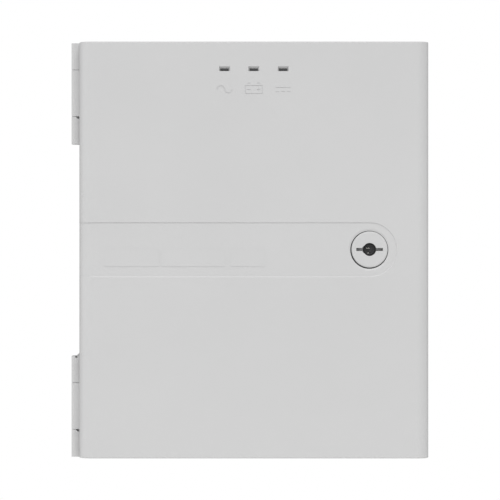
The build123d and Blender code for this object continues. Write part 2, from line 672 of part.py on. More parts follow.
# ---------------------------------------------------------------- backup battery
TERMINAL_X = BATTERY_LEFT + 8.0
TERMINAL_DEPTHS = (BATTERY_REAR + 9.0, BATTERY_FRONT - 9.0)
TAB_WIDTH = 6.35
TAB_THICK = 0.8
TAB_HEIGHT = 6.5

with BuildPart() as battery_case:
    case_height = BATTERY_HEIGHT - BATTERY_LID
    battery_middle = BATTERY_REAR + BATTERY_DEPTH / 2
    block(BATTERY_X, battery_middle, BATTERY_WIDTH - 1, BATTERY_DEPTH - 1, BATTERY_BOTTOM, case_height, 2)
    fillet(battery_case.faces().sort_by(Axis.Z)[0].edges(), 1.2)
save("battery_case", battery_case)

with BuildPart() as battery_lid:
    lid_low = BATTERY_TOP - BATTERY_LID
    block(BATTERY_X, battery_middle, BATTERY_WIDTH, BATTERY_DEPTH, lid_low, BATTERY_LID, 2)
    fillet(battery_lid.faces().sort_by(Axis.Z)[-1].edges(), 1.0)
    block(BATTERY_X + 8, battery_middle, 96, 42, BATTERY_TOP - 1.0, 5, 2, Mode.SUBTRACT)
    for terminal_depth in TERMINAL_DEPTHS:
        block(TERMINAL_X, terminal_depth, 10, 12, BATTERY_TOP - 3.0, 5, 1, Mode.SUBTRACT)
save("battery_lid", battery_lid)

with BuildPart() as battery_terminals:
    for terminal_depth in TERMINAL_DEPTHS:
        block(TERMINAL_X, terminal_depth, 8.0, 8.0, BATTERY_TOP - 3.0, 1.2)
        block(TERMINAL_X, terminal_depth, TAB_THICK, TAB_WIDTH, BATTERY_TOP - 2.0, TAB_HEIGHT + 2.0)
save("battery_terminals", battery_terminals)

STRAP_THICK = 1.2
STRAP_WIDTH = 20.0

with BuildPart() as battery_strap:
    strap_left = BATTERY_LEFT - 0.2
    strap_right = BATTERY_LEFT + BATTERY_WIDTH + 0.2
    strap_front = BATTERY_FRONT + 0.2
    with BuildSketch(Plane.XY.offset(STRAP_Z - STRAP_WIDTH / 2)) as strap_line:
        with BuildLine() as strap_path:
            FilletPolyline(
                (strap_left - 17, -STRAP_FOOT),
                (strap_left, -STRAP_FOOT),
                (strap_left, -strap_front),
                (strap_right, -strap_front),
                (strap_right, -STRAP_FOOT),
                (strap_right + 17, -STRAP_FOOT),
                radius=2.0,
            )
            offset(amount=STRAP_THICK, side=Side.RIGHT)
        make_face()
    extrude(amount=STRAP_WIDTH)
    for x in STRAP_FEET_X:
        disc(x, STRAP_Z, 1.8, 0, 20, mode=Mode.SUBTRACT)
save("battery_strap", battery_strap)

with BuildPart() as strap_screws:
    for x in STRAP_FEET_X:
        pan_screw(x, STRAP_Z, STRAP_FOOT + STRAP_THICK, 3.4, 2.4, 1.4, 6.0)
save("strap_screws", strap_screws)

SLEEVE_LOW = BATTERY_TOP + 0.6
SLEEVE_HEIGHT = 19.0
LEAD_RADIUS = 1.3
HEADER_X = (-42.0, -36.0)
HEADER_LOW = 14.0
HEADER_DEPTH = BOARD_FACE + 6.0

with BuildPart() as spade_connectors:
    for terminal_depth in TERMINAL_DEPTHS:
        block(TERMINAL_X, terminal_depth, 3.6, 8.6, SLEEVE_LOW, 13.0, 1.2)
        rod(TERMINAL_X, terminal_depth, 2.4, SLEEVE_LOW + 13.0, SLEEVE_HEIGHT - 13.0)
        block(TERMINAL_X, terminal_depth, 1.0, 6.6, SLEEVE_LOW - 1, TAB_HEIGHT + 1.4, 0, Mode.SUBTRACT)
save("spade_connectors", spade_connectors)

with BuildPart() as battery_header:
    block(-39.0, HEADER_DEPTH, 14, 11.9, HEADER_LOW, 9.0, 0.6)
    for x in HEADER_X:
        rod(x, HEADER_DEPTH, LEAD_RADIUS + 0.3, HEADER_LOW - 1, 4.0, mode=Mode.SUBTRACT)
save("battery_header", battery_header)

LEAD_LOW = SLEEVE_LOW + SLEEVE_HEIGHT
LEAD_HIGH = HEADER_LOW + 3.0
LEAD_ROUTES = {
    "battery_lead_black": [
        (TERMINAL_X, -TERMINAL_DEPTHS[0], LEAD_LOW),
        (TERMINAL_X, -TERMINAL_DEPTHS[0], LEAD_LOW + 16),
        (HEADER_X[0], -HEADER_DEPTH, LEAD_LOW + 22),
        (HEADER_X[0], -HEADER_DEPTH, LEAD_HIGH),
    ],
    "battery_lead_red": [
        (TERMINAL_X, -TERMINAL_DEPTHS[1], LEAD_LOW),
        (TERMINAL_X, -TERMINAL_DEPTHS[1], LEAD_LOW + 20),
        (TERMINAL_X + 7, -42.0, LEAD_LOW + 24),
        (HEADER_X[1], -HEADER_DEPTH, LEAD_LOW + 22),
        (HEADER_X[1], -HEADER_DEPTH, LEAD_HIGH),
    ],
}
for lead_name, route in LEAD_ROUTES.items():
    radii = lead_radii(route)
    print(lead_name, "bend radii", [round(radius, 1) for radius in radii])
    with BuildPart() as lead:
        with BuildLine() as lead_path:
            FilletPolyline(*route, radius=radii)
        with BuildSketch(Plane(origin=lead_path.line @ 0, z_dir=lead_path.line % 0)):
            Circle(LEAD_RADIUS)
        sweep()
    lead_length = sum(edge.length for edge in lead_path.edges())
    ideal_volume = math.pi * LEAD_RADIUS**2 * lead_length
    volume_ratio = lead.part.volume / ideal_volume
    print(lead_name, "length", round(lead_length, 1), "volume ratio", round(volume_ratio, 4))
    save(lead_name, lead)

# ---------------------------------------------------------------- tamper switch
TAMPER_REAR = BOX_WALL + 27.5
TAMPER_FACE = 56.0
TAMPER_TIP = 70.0
PLUNGER_RADIUS = 2.2

with BuildPart() as tamper_switch_body:
    slab(TAMPER_X, TAMPER_Z, 12, 18, TAMPER_REAR, TAMPER_FACE - TAMPER_REAR, corner=1)
    disc(TAMPER_X, TAMPER_Z, PLUNGER_RADIUS + HOLE_CLEARANCE, 48, 20, mode=Mode.SUBTRACT)
    disc(TAMPER_X, TAMPER_Z, 3.7, 48, 6.5, mode=Mode.SUBTRACT)
    for side in (-1, 1):
        block(TAMPER_X, 40, 14, 5, TAMPER_Z + side * 6 - 1.5, 3, 0, Mode.SUBTRACT)
save("tamper_switch_body", tamper_switch_body)

with BuildPart() as tamper_plunger:
    disc(TAMPER_X, TAMPER_Z, PLUNGER_RADIUS, 49, TAMPER_TIP - 49)
    disc(TAMPER_X, TAMPER_Z, 3.5, 49.5, 1.6)
    fillet(tamper_plunger.faces().sort_by(Axis.Y)[0].edges(), 1.2)
save("tamper_plunger", tamper_plunger)

# ---------------------------------------------------------------- door
DOOR_SIDE = -DOOR_WIDTH / 2
DOOR_WEB = (
    (HINGE_X, -HINGE_DEPTH),
    (HINGE_X, -HINGE_FRONT),
    (DOOR_SIDE + DOOR_WALL, -HINGE_FRONT),
    (DOOR_SIDE + DOOR_WALL, -HINGE_DEPTH),
)
PADS = ((-107.5, -68.3), (-66.5, -20.9), (-16.9, 7.8))
PAD_TOP = 0.6
PAD_BOTTOM = -11.9
PAD_RISE = 0.25
PAD_HEIGHT = PAD_TOP - PAD_BOTTOM
COLLAR_REAR = 71.5
HOLE_X = LOCK_X + LOCK_HOLE_SHIFT
HOLE_Z = LOCK_Z + LOCK_HOLE_SHIFT


def door_outline(inset, low):
    """The door's plan section, an inset inside its outer skin: a flat front with rounded sides."""
    side = DOOR_WIDTH / 2 - inset
    front = -(DOOR_FRONT - inset)
    rounds = [EDGE_ROUND_LEFT - inset, EDGE_ROUND_RIGHT - inset]
    with BuildSketch(Plane.XY.offset(low)) as outline:
        with BuildLine():
            skin = FilletPolyline(
                (-side, -DOOR_REAR),
                (-side, front),
                (side, front),
                (side, -DOOR_REAR),
                radius=rounds,
            )
            Line(skin @ 1, skin @ 0)
        make_face()
    return outline.sketch


def band_outline(depth, half, middle):
    """The band's front outline at a depth: straight edges that end in a round about the lock."""
    run = LOCK_X + DOOR_WIDTH
    with BuildSketch(at(depth)) as outline:
        with Locations((LOCK_X, middle)):
            Circle(half)
        with Locations((LOCK_X - run / 2, middle)):
            Rectangle(run, 2 * half)
    return outline.sketch


BAND_MOUTH_HALF = BAND_FLOOR_HALF + (BAND_TOP_SLOPE + BAND_BOTTOM_SLOPE) / 2
BAND_MOUTH_Z = LOCK_Z + (BAND_TOP_SLOPE - BAND_BOTTOM_SLOPE) / 2

# what the band takes out of the door: its floor keeps the door's own section, set back
with BuildPart() as band:
    extrude(band_outline(DOOR_REAR, BAND_FLOOR_HALF, LOCK_Z), amount=BAND_FLOOR - DOOR_REAR)
    floor_outline = band_outline(BAND_FLOOR, BAND_FLOOR_HALF, LOCK_Z)
    mouth_outline = band_outline(DOOR_FRONT, BAND_MOUTH_HALF, BAND_MOUTH_Z)
    loft([floor_outline, mouth_outline])
    set_back = Pos(0, BAND_DEPTH, 0) * door_outline(0, -DOOR_HEIGHT / 2)
    extrude(set_back, amount=DOOR_HEIGHT, mode=Mode.SUBTRACT)

with BuildPart() as door:
    extrude(door_outline(0, -DOOR_HEIGHT / 2), amount=DOOR_HEIGHT)
    for end in (0, -1):
        fillet(door.faces().sort_by(Axis.Z)[end].edges().sort_by(Axis.Y)[:-1], EDGE_ROUND_ENDS)
    cavity_low = -DOOR_HEIGHT / 2 + DOOR_WALL
    extrude(door_outline(DOOR_WALL, cavity_low), amount=-2 * cavity_low, mode=Mode.SUBTRACT)
    # the long shallow band, rounded about the lock
    add(band.part, mode=Mode.SUBTRACT)
    # three blank name pads on the band's floor
    for left, right in PADS:
        middle = (left + right) / 2
        slab(middle, (PAD_TOP + PAD_BOTTOM) / 2, right - left, PAD_HEIGHT, BAND_FLOOR, PAD_RISE, 1.2)
    # indicator windows: a hooded pocket down to a slit at its sill
    for x in WINDOW_X:
        slab(x, SLIT_Z, 14, 10, SKIN - 2.4, 2.6)
        slab(x, SLIT_Z, 11.4, 7.4, SKIN - 3, 3.0, mode=Mode.SUBTRACT)
        with BuildSketch(at(DOOR_FRONT + 0.01)):
            with Locations((x, WINDOW_Z)):
                Rectangle(WINDOW_WIDTH, WINDOW_HEIGHT)
        with BuildSketch(at(DOOR_FRONT - WINDOW_DEPTH)):
            with Locations((x, SLIT_Z)):
                Rectangle(SLIT_WIDTH, SLIT_HEIGHT)
        loft(mode=Mode.SUBTRACT)
        slab(x, SLIT_Z, SLIT_WIDTH, SLIT_HEIGHT, SKIN - 1, DOOR_FRONT - SKIN, mode=Mode.SUBTRACT)
    # engraved signs under the windows: alternating current, battery, direct current
    with BuildSketch(at(DOOR_FRONT - ENGRAVING)):
        with BuildLine():
            half_wave = ICON_WIDTH / 4
            for side in (-1, 1):
                crossing = WINDOW_X[0] + side * 2 * half_wave
                crest = (WINDOW_X[0] + side * half_wave, ICON_Z - side * ICON_WAVE)
                ThreePointArc((crossing, ICON_Z), crest, (WINDOW_X[0], ICON_Z))
        trace(line_width=ICON_WAVE_LINE)
        with Locations((WINDOW_X[1], ICON_Z)):
            Rectangle(BATTERY_SIGN_WIDTH, BATTERY_SIGN_HEIGHT)
            inner_width = BATTERY_SIGN_WIDTH - 2 * ICON_LINE
            Rectangle(inner_width, BATTERY_SIGN_HEIGHT - 2 * ICON_LINE, mode=Mode.SUBTRACT)
        for side in (-1, 1):
            pole_x = WINDOW_X[1] + side * BATTERY_SIGN_WIDTH * 0.28
            with Locations((pole_x, ICON_Z + BATTERY_SIGN_HEIGHT / 2 + 1.6), (pole_x, ICON_Z)):
                Rectangle(ICON_DASH, ICON_LINE)
        with Locations((pole_x, ICON_Z)):
            Rectangle(ICON_LINE, ICON_DASH)
        with Locations((WINDOW_X[2], ICON_Z + 1.5)):
            Rectangle(ICON_WIDTH, ICON_LINE)
        with Locations((WINDOW_X[2], ICON_Z - 1.5)):
            with GridLocations((ICON_WIDTH - ICON_DASH) / 2, 0, 3, 1):
                Rectangle(ICON_DASH, ICON_LINE)
    extrude(amount=ENGRAVING + 0.1, mode=Mode.SUBTRACT)
    # inside: the lock's collar, stiffening ribs and the post that presses the tamper switch
    disc(HOLE_X, HOLE_Z, LOCK_HOLE_RADIUS + 2.8, COLLAR_REAR, SKIN - COLLAR_REAR + 0.3)
    disc(HOLE_X, HOLE_Z, LOCK_HOLE_RADIUS, COLLAR_REAR - 1, 30, mode=Mode.SUBTRACT)
    for radius, depth in ((LOCK_HOLE_RADIUS + LOCK_RIM_WIDTH, 0), (LOCK_HOLE_RADIUS, LOCK_RIM_DROP)):
        with BuildSketch(at(BAND_FLOOR - depth)):
            with Locations((HOLE_X, HOLE_Z)):
                Circle(radius)
    loft(mode=Mode.SUBTRACT)
    for z in (-75.0, 40.0):
        slab(0, z, DOOR_WIDTH - 2 * DOOR_WALL + 0.4, 2, SKIN - 7, 7.2)
    for x in (-60.0, 40.0):
        slab(x, 40 - 115 / 2, 2, 115.4, SKIN - 7, 7.2)
    disc(TAMPER_X, TAMPER_Z, 3.2, TAMPER_TIP + 0.3, SKIN - TAMPER_TIP)
    # hinge: one knuckle between each pair on the box, and room for that pair
    for hinge_top in HINGE_TOPS:
        knuckle_top = hinge_top - KNUCKLE_TOP - KNUCKLE_GAP
        knuckle_low = knuckle_top - KNUCKLE_DOOR
        room_low = hinge_top - HINGE_LENGTH - KNUCKLE_GAP
        knuckle(DOOR_WEB, knuckle_low, KNUCKLE_DOOR)
        for low, high in ((knuckle_top, hinge_top + KNUCKLE_GAP), (room_low, knuckle_low)):
            rod(HINGE_X, HINGE_DEPTH, DOOR_NOTCH_RADIUS, low, high - low, mode=Mode.SUBTRACT)
        rod(HINGE_X, HINGE_DEPTH, PIN_BORE, knuckle_low - 1, KNUCKLE_DOOR + 2, mode=Mode.SUBTRACT)
        joint_grooves(hinge_top)
save("door", door)

for lens_name, x in zip(("lens_left", "lens_middle", "lens_right"), WINDOW_X):
    with BuildPart() as lens:
        slab(x, SLIT_Z, 11.2, 7.2, SKIN - 1.6, 1.6, corner=0.6)
        slab(x, SLIT_Z, SLIT_WIDTH - 0.1, SLIT_HEIGHT - 0.1, SKIN, DOOR_FRONT - WINDOW_DEPTH - SKIN - 0.05)
        disc(x, SLIT_Z, 1.9, SKIN - 2.6, 1.2)
    save(lens_name, lens)

# ---------------------------------------------------------------- lock
BUSH_FRONT = BAND_FLOOR - LOCK_GAP_DEPTH
BUSH_REAR = 70.0
HEAD_REAR = BUSH_FRONT + 0.3
SLOT_FLOOR = BAND_FLOOR - LOCK_SLOT_DEPTH
CLIP_REAR = 68.5
CLIP_THICK = 1.0
SHAFT_REAR = 66.0
NECK_RADIUS = 6.0
SQUARE = 7.0
PLUG_FLOOR = 78.0
PLUG_FRONT = 83.6

with BuildPart() as lock_bush:
    disc(HOLE_X, HOLE_Z, LOCK_HOLE_RADIUS - 0.1, BUSH_REAR, BUSH_FRONT - BUSH_REAR)
    disc(HOLE_X, HOLE_Z, LOCK_HOLE_RADIUS + 2.5, BUSH_REAR, COLLAR_REAR - BUSH_REAR)
    disc(LOCK_X, LOCK_Z, LOCK_SHAFT_RADIUS + HOLE_CLEARANCE, BUSH_REAR - 1, 20, mode=Mode.SUBTRACT)
save("lock_bush", lock_bush)

with BuildPart() as lock_rotor:
    disc(LOCK_X, LOCK_Z, LOCK_DISC_RADIUS, HEAD_REAR, BAND_FLOOR - HEAD_REAR)
    fillet(lock_rotor.faces().sort_by(Axis.Y)[0].edges(), LOCK_DISC_ROUND)
    disc(LOCK_X, LOCK_Z, LOCK_SHAFT_RADIUS, SHAFT_REAR, HEAD_REAR - SHAFT_REAR)
    with BuildSketch(at(CLIP_REAR - 0.05)) as groove:
        with Locations((LOCK_X, LOCK_Z)):
            Circle(LOCK_SHAFT_RADIUS + 1)
            Circle(LOCK_SHAFT_RADIUS - 1, mode=Mode.SUBTRACT)
    extrude(amount=CLIP_THICK + 0.1, mode=Mode.SUBTRACT)
    disc(LOCK_X, LOCK_Z, NECK_RADIUS, CAM_FRONT + 0.1, SHAFT_REAR - CAM_FRONT)
    slab(LOCK_X, LOCK_Z, SQUARE, SQUARE, CAM_REAR + 0.2, SHAFT_REAR - CAM_REAR)
    disc(LOCK_X, LOCK_Z, 1.55, CAM_REAR - 1, 12, mode=Mode.SUBTRACT)
    disc(LOCK_X, LOCK_Z, LOCK_PLUG_RADIUS + 0.05, PLUG_FLOOR, 10, mode=Mode.SUBTRACT)
    slab(LOCK_X, LOCK_Z, LOCK_SLOT_LENGTH, LOCK_SLOT_WIDTH, SLOT_FLOOR, 8, mode=Mode.SUBTRACT)
    with BuildSketch(at(SLOT_FLOOR)):
        with BuildLine():
            Polyline(
                (LOCK_X - LOCK_PLUG_RADIUS - 1.7, LOCK_Z),
                (LOCK_X - LOCK_PLUG_RADIUS + 0.6, LOCK_Z + 2.8),
                (LOCK_X - LOCK_PLUG_RADIUS + 0.6, LOCK_Z - 2.8),
                close=True,
            )
        make_face()
    extrude(amount=LOCK_SLOT_DEPTH + 1, mode=Mode.SUBTRACT)
save("lock_rotor", lock_rotor)

with BuildPart() as lock_plug:
    disc(LOCK_X, LOCK_Z, LOCK_PLUG_RADIUS, PLUG_FLOOR, PLUG_FRONT - 1.4 - PLUG_FLOOR)
    with BuildSketch(at(PLUG_FRONT - 1.4)):
        with Locations((LOCK_X, LOCK_Z)):
            Circle(LOCK_PLUG_RADIUS - 0.9)
            Circle(LOCK_PLUG_RADIUS - 1.7, mode=Mode.SUBTRACT)
        with Locations((LOCK_X - 1.0, LOCK_Z + 0.9), (LOCK_X + 0.2, LOCK_Z - 1.2)):
            Circle(0.75)
    extrude(amount=1.4)
save("lock_plug", lock_plug)

with BuildPart() as lock_clip:
    with BuildSketch(at(CLIP_REAR)):
        with Locations((LOCK_X, LOCK_Z)):
            Circle(LOCK_SHAFT_RADIUS + 2.0)
            Circle(LOCK_SHAFT_RADIUS - 0.95, mode=Mode.SUBTRACT)
        with Locations((LOCK_X, LOCK_Z - LOCK_SHAFT_RADIUS)):
            Rectangle(9, 8, mode=Mode.SUBTRACT)
    extrude(amount=CLIP_THICK)
save("lock_clip", lock_clip)

with BuildPart() as lock_cam:
    with BuildSketch(at(CAM_REAR)):
        with Locations((LOCK_X, LOCK_Z)):
            Circle(9.0)
        with Locations((LOCK_X, LOCK_Z + CAM_REACH / 2)):
            Rectangle(CAM_WIDTH, CAM_REACH)
        with Locations((LOCK_X, LOCK_Z)):
            Rectangle(SQUARE + 0.1, SQUARE + 0.1, mode=Mode.SUBTRACT)
    extrude(amount=CAM_FRONT - CAM_REAR)
    tip = lock_cam.edges().filter_by(Axis.Y).group_by(Axis.Z)[-1]
    fillet(tip, 2.5)
save("lock_cam", lock_cam)

with BuildPart() as cam_screw:
    disc(LOCK_X, LOCK_Z, 6.2, CAM_REAR - 1.0, 1.0)
    disc(LOCK_X, LOCK_Z, 3.2, CAM_REAR - 3.2, 2.3)
    disc(LOCK_X, LOCK_Z, 1.5, CAM_REAR - 0.5, 9)
    slab(LOCK_X, LOCK_Z, 5, 0.8, CAM_REAR - 4, 1.8, mode=Mode.SUBTRACT)
    slab(LOCK_X, LOCK_Z, 0.8, 5, CAM_REAR - 4, 1.8, mode=Mode.SUBTRACT)
save("cam_screw", cam_screw)
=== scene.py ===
"""Looks for the wall cabinet: materials, inner detail, camera, floor and studio light.

Units are metres, except where a comment or a function says millimetres.
"""

import json
import math
import random

import bmesh
import bpy
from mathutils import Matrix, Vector, geometry


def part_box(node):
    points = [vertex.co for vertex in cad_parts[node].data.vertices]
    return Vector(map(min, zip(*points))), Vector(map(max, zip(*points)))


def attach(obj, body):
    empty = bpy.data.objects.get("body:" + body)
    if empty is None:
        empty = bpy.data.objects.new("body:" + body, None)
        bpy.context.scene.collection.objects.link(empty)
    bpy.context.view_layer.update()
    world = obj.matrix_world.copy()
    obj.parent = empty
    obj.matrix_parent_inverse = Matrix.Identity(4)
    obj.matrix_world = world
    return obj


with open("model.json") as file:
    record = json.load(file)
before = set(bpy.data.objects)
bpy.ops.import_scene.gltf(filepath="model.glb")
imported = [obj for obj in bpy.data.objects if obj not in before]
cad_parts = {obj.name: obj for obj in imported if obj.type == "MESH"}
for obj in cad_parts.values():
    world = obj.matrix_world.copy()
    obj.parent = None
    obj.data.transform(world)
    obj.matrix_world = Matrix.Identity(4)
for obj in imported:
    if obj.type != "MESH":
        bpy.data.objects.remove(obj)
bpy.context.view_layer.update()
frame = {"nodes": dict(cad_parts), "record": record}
NODES = frame["nodes"]
MM = 0.001

# ---------------------------------------------------------------- camera, floor and light
VIEW_HEIGHT = 0.3597  # what the square view spans at the door's face
VIEW_DISTANCE = 2.2
VIEW_SIDE = -0.0027
SENSOR = 36.0
FLOOR_MIDDLE = (0, -0.4, -0.32)
FLOOR_HALF_WIDTH = 1.0
WORLD_LIGHT = 0.38
LIGHTS = {  # strength, angle across, elevation, azimuth from which it shines
    "key": (1.75, 38, 50, 4),
    "front_fill": (0.58, 60, 5, 0),
    "left_fill": (1.0, 70, 8, -75),
    "right_fill": (0.6, 70, 8, 85),
    "table_bounce": (0.62, 70, -62, 0),
}


def make_camera():
    """Straight on to the door, level with its middle."""
    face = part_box("door")[0].y
    data = bpy.data.cameras.new("camera")
    data.sensor_width = SENSOR
    data.lens = SENSOR * VIEW_DISTANCE / VIEW_HEIGHT
    camera = bpy.data.objects.new("camera", data)
    camera.location = (VIEW_SIDE, face - VIEW_DISTANCE, 0)
    camera.rotation_euler = (math.radians(90), 0, 0)
    bpy.context.scene.collection.objects.link(camera)
    bpy.context.scene.camera = camera


def make_sun(name, strength, angle, elevation, azimuth):
    """A broad sun in front at azimuth 0 and to the right at 90; elevation is above the horizon."""
    data = bpy.data.lights.new(name, "SUN")
    data.energy = strength
    data.angle = math.radians(angle)
    sun = bpy.data.objects.new(name, data)
    a, e = math.radians(azimuth), math.radians(elevation)
    back = Vector((math.sin(a) * math.cos(e), -math.cos(a) * math.cos(e), math.sin(e)))
    sun.rotation_euler = back.to_track_quat("Z", "Y").to_euler()
    bpy.context.scene.collection.objects.link(sun)


def make_world():
    """White behind the object, and a softer white as the light it gives."""
    world = bpy.data.worlds.new("studio")
    world.use_nodes = True
    tree = world.node_tree
    tree.nodes.clear()
    seen = tree.nodes.new("ShaderNodeBackground")
    seen.inputs["Strength"].default_value = 1.0
    light = tree.nodes.new("ShaderNodeBackground")
    light.inputs["Strength"].default_value = WORLD_LIGHT
    for background in (seen, light):
        background.inputs["Color"].default_value = (1, 1, 1, 1)
    path = tree.nodes.new("ShaderNodeLightPath")
    mix = tree.nodes.new("ShaderNodeMixShader")
    out = tree.nodes.new("ShaderNodeOutputWorld")
    tree.links.new(path.outputs["Is Camera Ray"], mix.inputs["Fac"])
    tree.links.new(light.outputs[0], mix.inputs[1])
    tree.links.new(seen.outputs[0], mix.inputs[2])
    tree.links.new(mix.outputs[0], out.inputs["Surface"])
    bpy.context.scene.world = world
    bpy.context.scene.view_settings.view_transform = "Standard"


def make_floor():
    """A pale floor below the cabinet, which hangs on a wall; the light from below passes it."""
    mesh = bpy.data.meshes.new("floor")
    form = bmesh.new()
    bmesh.ops.create_grid(form, x_segments=1, y_segments=1, size=FLOOR_HALF_WIDTH)
    form.to_mesh(mesh)
    form.free()
    floor = bpy.data.objects.new("floor", mesh)
    floor.location = FLOOR_MIDDLE
    floor.visible_shadow = False
    bpy.context.scene.collection.objects.link(floor)
    mesh.materials.append(plastic("floor_paint", (0.80, 0.80, 0.79), 0.7, grain=0.004))


# ---------------------------------------------------------------- material helpers
SHEEN_WANDER = 0.06  # how far the roughness of moulded plastic strays
BRUSH_MARK = 0.0008


class Shader:
    """A material being built: object coordinates in metres feed its patterns."""

    def __init__(self, name, colour, roughness, metallic=0.0, **sockets):
        self.material = bpy.data.materials.new(name)
        self.material.use_nodes = True
        self.tree = self.material.node_tree
        self.surface = self.tree.nodes["Principled BSDF"]
        self.place = self.tree.nodes.new("ShaderNodeTexCoord").outputs["Object"]
        self.normal = None
        self.set("Base Color", (*colour, 1))
        self.set("Roughness", roughness)
        self.set("Metallic", metallic)
        for socket, value in sockets.items():
            self.set(socket.replace("_", " ").title().replace("Ior", "IOR"), value)

    def set(self, socket, value):
        self.surface.inputs[socket].default_value = value

    def node(self, kind, **inputs):
        made = self.tree.nodes.new("ShaderNode" + kind)
        for name, value in inputs.items():
            self.plug(made.inputs[name.replace("_", " ")], value)
        return made

    def plug(self, socket, value):
        if isinstance(value, bpy.types.NodeSocket):
            self.tree.links.new(value, socket)
        else:
            socket.default_value = value

    def noise(self, size, detail=3.0, stretch=(1, 1, 1)):
        """Noise with features of about size metres, from 0 to 1."""
        mapping = self.node("Mapping", Vector=self.place, Scale=stretch)
        texture = self.node("TexNoise", Vector=mapping.outputs[0], Scale=1 / size, Detail=detail)
        return texture.outputs["Fac"]

    def levels(self, value, low, high, to_low=0.0, to_high=1.0):
        """Stretch a value's range and clamp it."""
        node = self.tree.nodes.new("ShaderNodeMapRange")
        self.plug(node.inputs["Value"], value)
        ends = {"From Min": low, "From Max": high, "To Min": to_low, "To Max": to_high}
        for socket, number in ends.items():
            self.plug(node.inputs[socket], number)
        return node.outputs["Result"]

    def math(self, operation, first, second=0.0):
        node = self.tree.nodes.new("ShaderNodeMath")
        node.operation = operation
        self.plug(node.inputs[0], first)
        self.plug(node.inputs[1], second)
        return node.outputs[0]

    def mix(self, share, first, second):
        """Blend two colours by a share that varies over the surface."""
        node = self.tree.nodes.new("ShaderNodeMix")
        node.data_type = "RGBA"
        self.plug(node.inputs["Factor"], share)
        colours = [socket for socket in node.inputs if socket.type == "RGBA"]
        for socket, value in zip(colours, (first, second)):
            self.plug(socket, value if isinstance(value, bpy.types.NodeSocket) else (*value, 1))
        return [socket for socket in node.outputs if socket.type == "RGBA"][0]

    def axis(self, name):
        """One object coordinate, in metres."""
        return self.node("SeparateXYZ", Vector=self.place).outputs[name]

    def between(self, value, low, high):
        """1 where a value lies between two others, and 0 elsewhere."""
        above, below = self.math("GREATER_THAN", value, low), self.math("LESS_THAN", value, high)
        return self.math("MULTIPLY", above, below)

    def flat(self):
        """The coordinates without depth, so that a pattern doesn't change through the thickness."""
        return self.node("Mapping", Vector=self.place, Scale=(1, 0.001, 1)).outputs[0]

    def board_tracks(self, across, along, pitch, run):
        """Parallel lines a pitch apart, each drawn only on some runs of its length: 1 on a line."""
        lane = self.math("DIVIDE", self.axis(across), pitch)
        stretch = self.math("FLOOR", self.math("DIVIDE", self.axis(along), run))
        number = self.math("ADD", self.math("FLOOR", lane), self.math("MULTIPLY", stretch, 17.3))
        chance = self.tree.nodes.new("ShaderNodeTexWhiteNoise")
        chance.noise_dimensions = "1D"
        self.plug(chance.inputs["W"], number)
        used = self.math("GREATER_THAN", chance.outputs["Value"], 0.62)
        edge = self.math("ABSOLUTE", self.math("SUBTRACT", self.math("FRACT", lane), 0.5))
        return self.math("MULTIPLY", used, self.levels(edge, 0.1, 0.16, 1.0, 0.0))

    def stripes(self, axis, pitch, share):
        """Regular lines across an axis, a pitch apart: 1 on a share of each step."""
        step = self.math("FRACT", self.math("DIVIDE", self.axis(axis), pitch))
        return self.math("LESS_THAN", step, share)

    def colour(self, value):
        self.plug(self.surface.inputs["Base Color"], value)

    def rough(self, value, low, high):
        """Let the roughness wander between two values."""
        self.plug(self.surface.inputs["Roughness"], self.levels(value, 0.3, 0.7, low, high))

    def bump(self, height, depth, strength=1.0):
        """Add relief: height from 0 to 1 stands for depth metres."""
        node = self.node("Bump", Strength=strength, Distance=depth, Height=height)
        if self.normal is not None:
            self.plug(node.inputs["Normal"], self.normal)
        self.normal = node.outputs["Normal"]
        self.plug(self.surface.inputs["Normal"], self.normal)


def shade(colour, factor):
    """A colour made darker or lighter."""
    return tuple(min(1.0, channel * factor) for channel in colour)


def plastic(name, colour, roughness, grain=0.0006, relief=0.00001, **sockets):
    """Moulded plastic: faint cloudiness, a fine sparked texture and uneven sheen."""
    made = Shader(name, colour, roughness, **sockets)
    cloud = made.noise(0.05, 4.0)
    fine = made.noise(grain, 2.0)
    made.colour(made.mix(made.levels(cloud, 0.3, 0.7), shade(colour, 0.97), shade(colour, 1.03)))
    made.rough(made.noise(0.02, 5.0), roughness - SHEEN_WANDER, roughness + SHEEN_WANDER)
    made.bump(fine, relief)
    return made.material


def metal(name, colour, roughness, brushed=(1, 1, 40), relief=0.000004, tarnish=0.8):
    """Metal with fine directional marks, faint tarnish and uneven roughness."""
    made = Shader(name, colour, roughness, 1.0)
    streaks = made.noise(BRUSH_MARK, 3.0, stretch=brushed)
    cloud = made.noise(0.006, 5.0)
    made.colour(made.mix(made.levels(cloud, 0.35, 0.7), colour, shade(colour, tarnish)))
    made.rough(streaks, roughness * 0.75, roughness * 1.3)
    made.bump(streaks, relief)
    return made.material


# ---------------------------------------------------------------- materials
HOUSING = (0.52, 0.52, 0.522)


def housing_material():
    """Light-grey ABS with a fine sparked skin, faint flow clouds and handling smudges."""
    made = Shader("housing_abs", HOUSING, 0.5)
    cloud = made.noise(0.09, 3.0)
    speck = made.noise(0.0011, 2.0)
    tone = made.mix(made.levels(cloud, 0.3, 0.7), shade(HOUSING, 0.985), shade(HOUSING, 1.012))
    made.colour(made.mix(made.levels(speck, 0.3, 0.75, 0.0, 0.12), tone, shade(HOUSING, 0.93)))
    smudge = made.noise(0.035, 6.0)
    made.rough(smudge, 0.46, 0.58)
    made.bump(made.noise(0.012, 2.0), 0.00002, 0.35)
    made.bump(made.noise(0.00055, 3.0), 0.000012, 0.6)
    return made.material


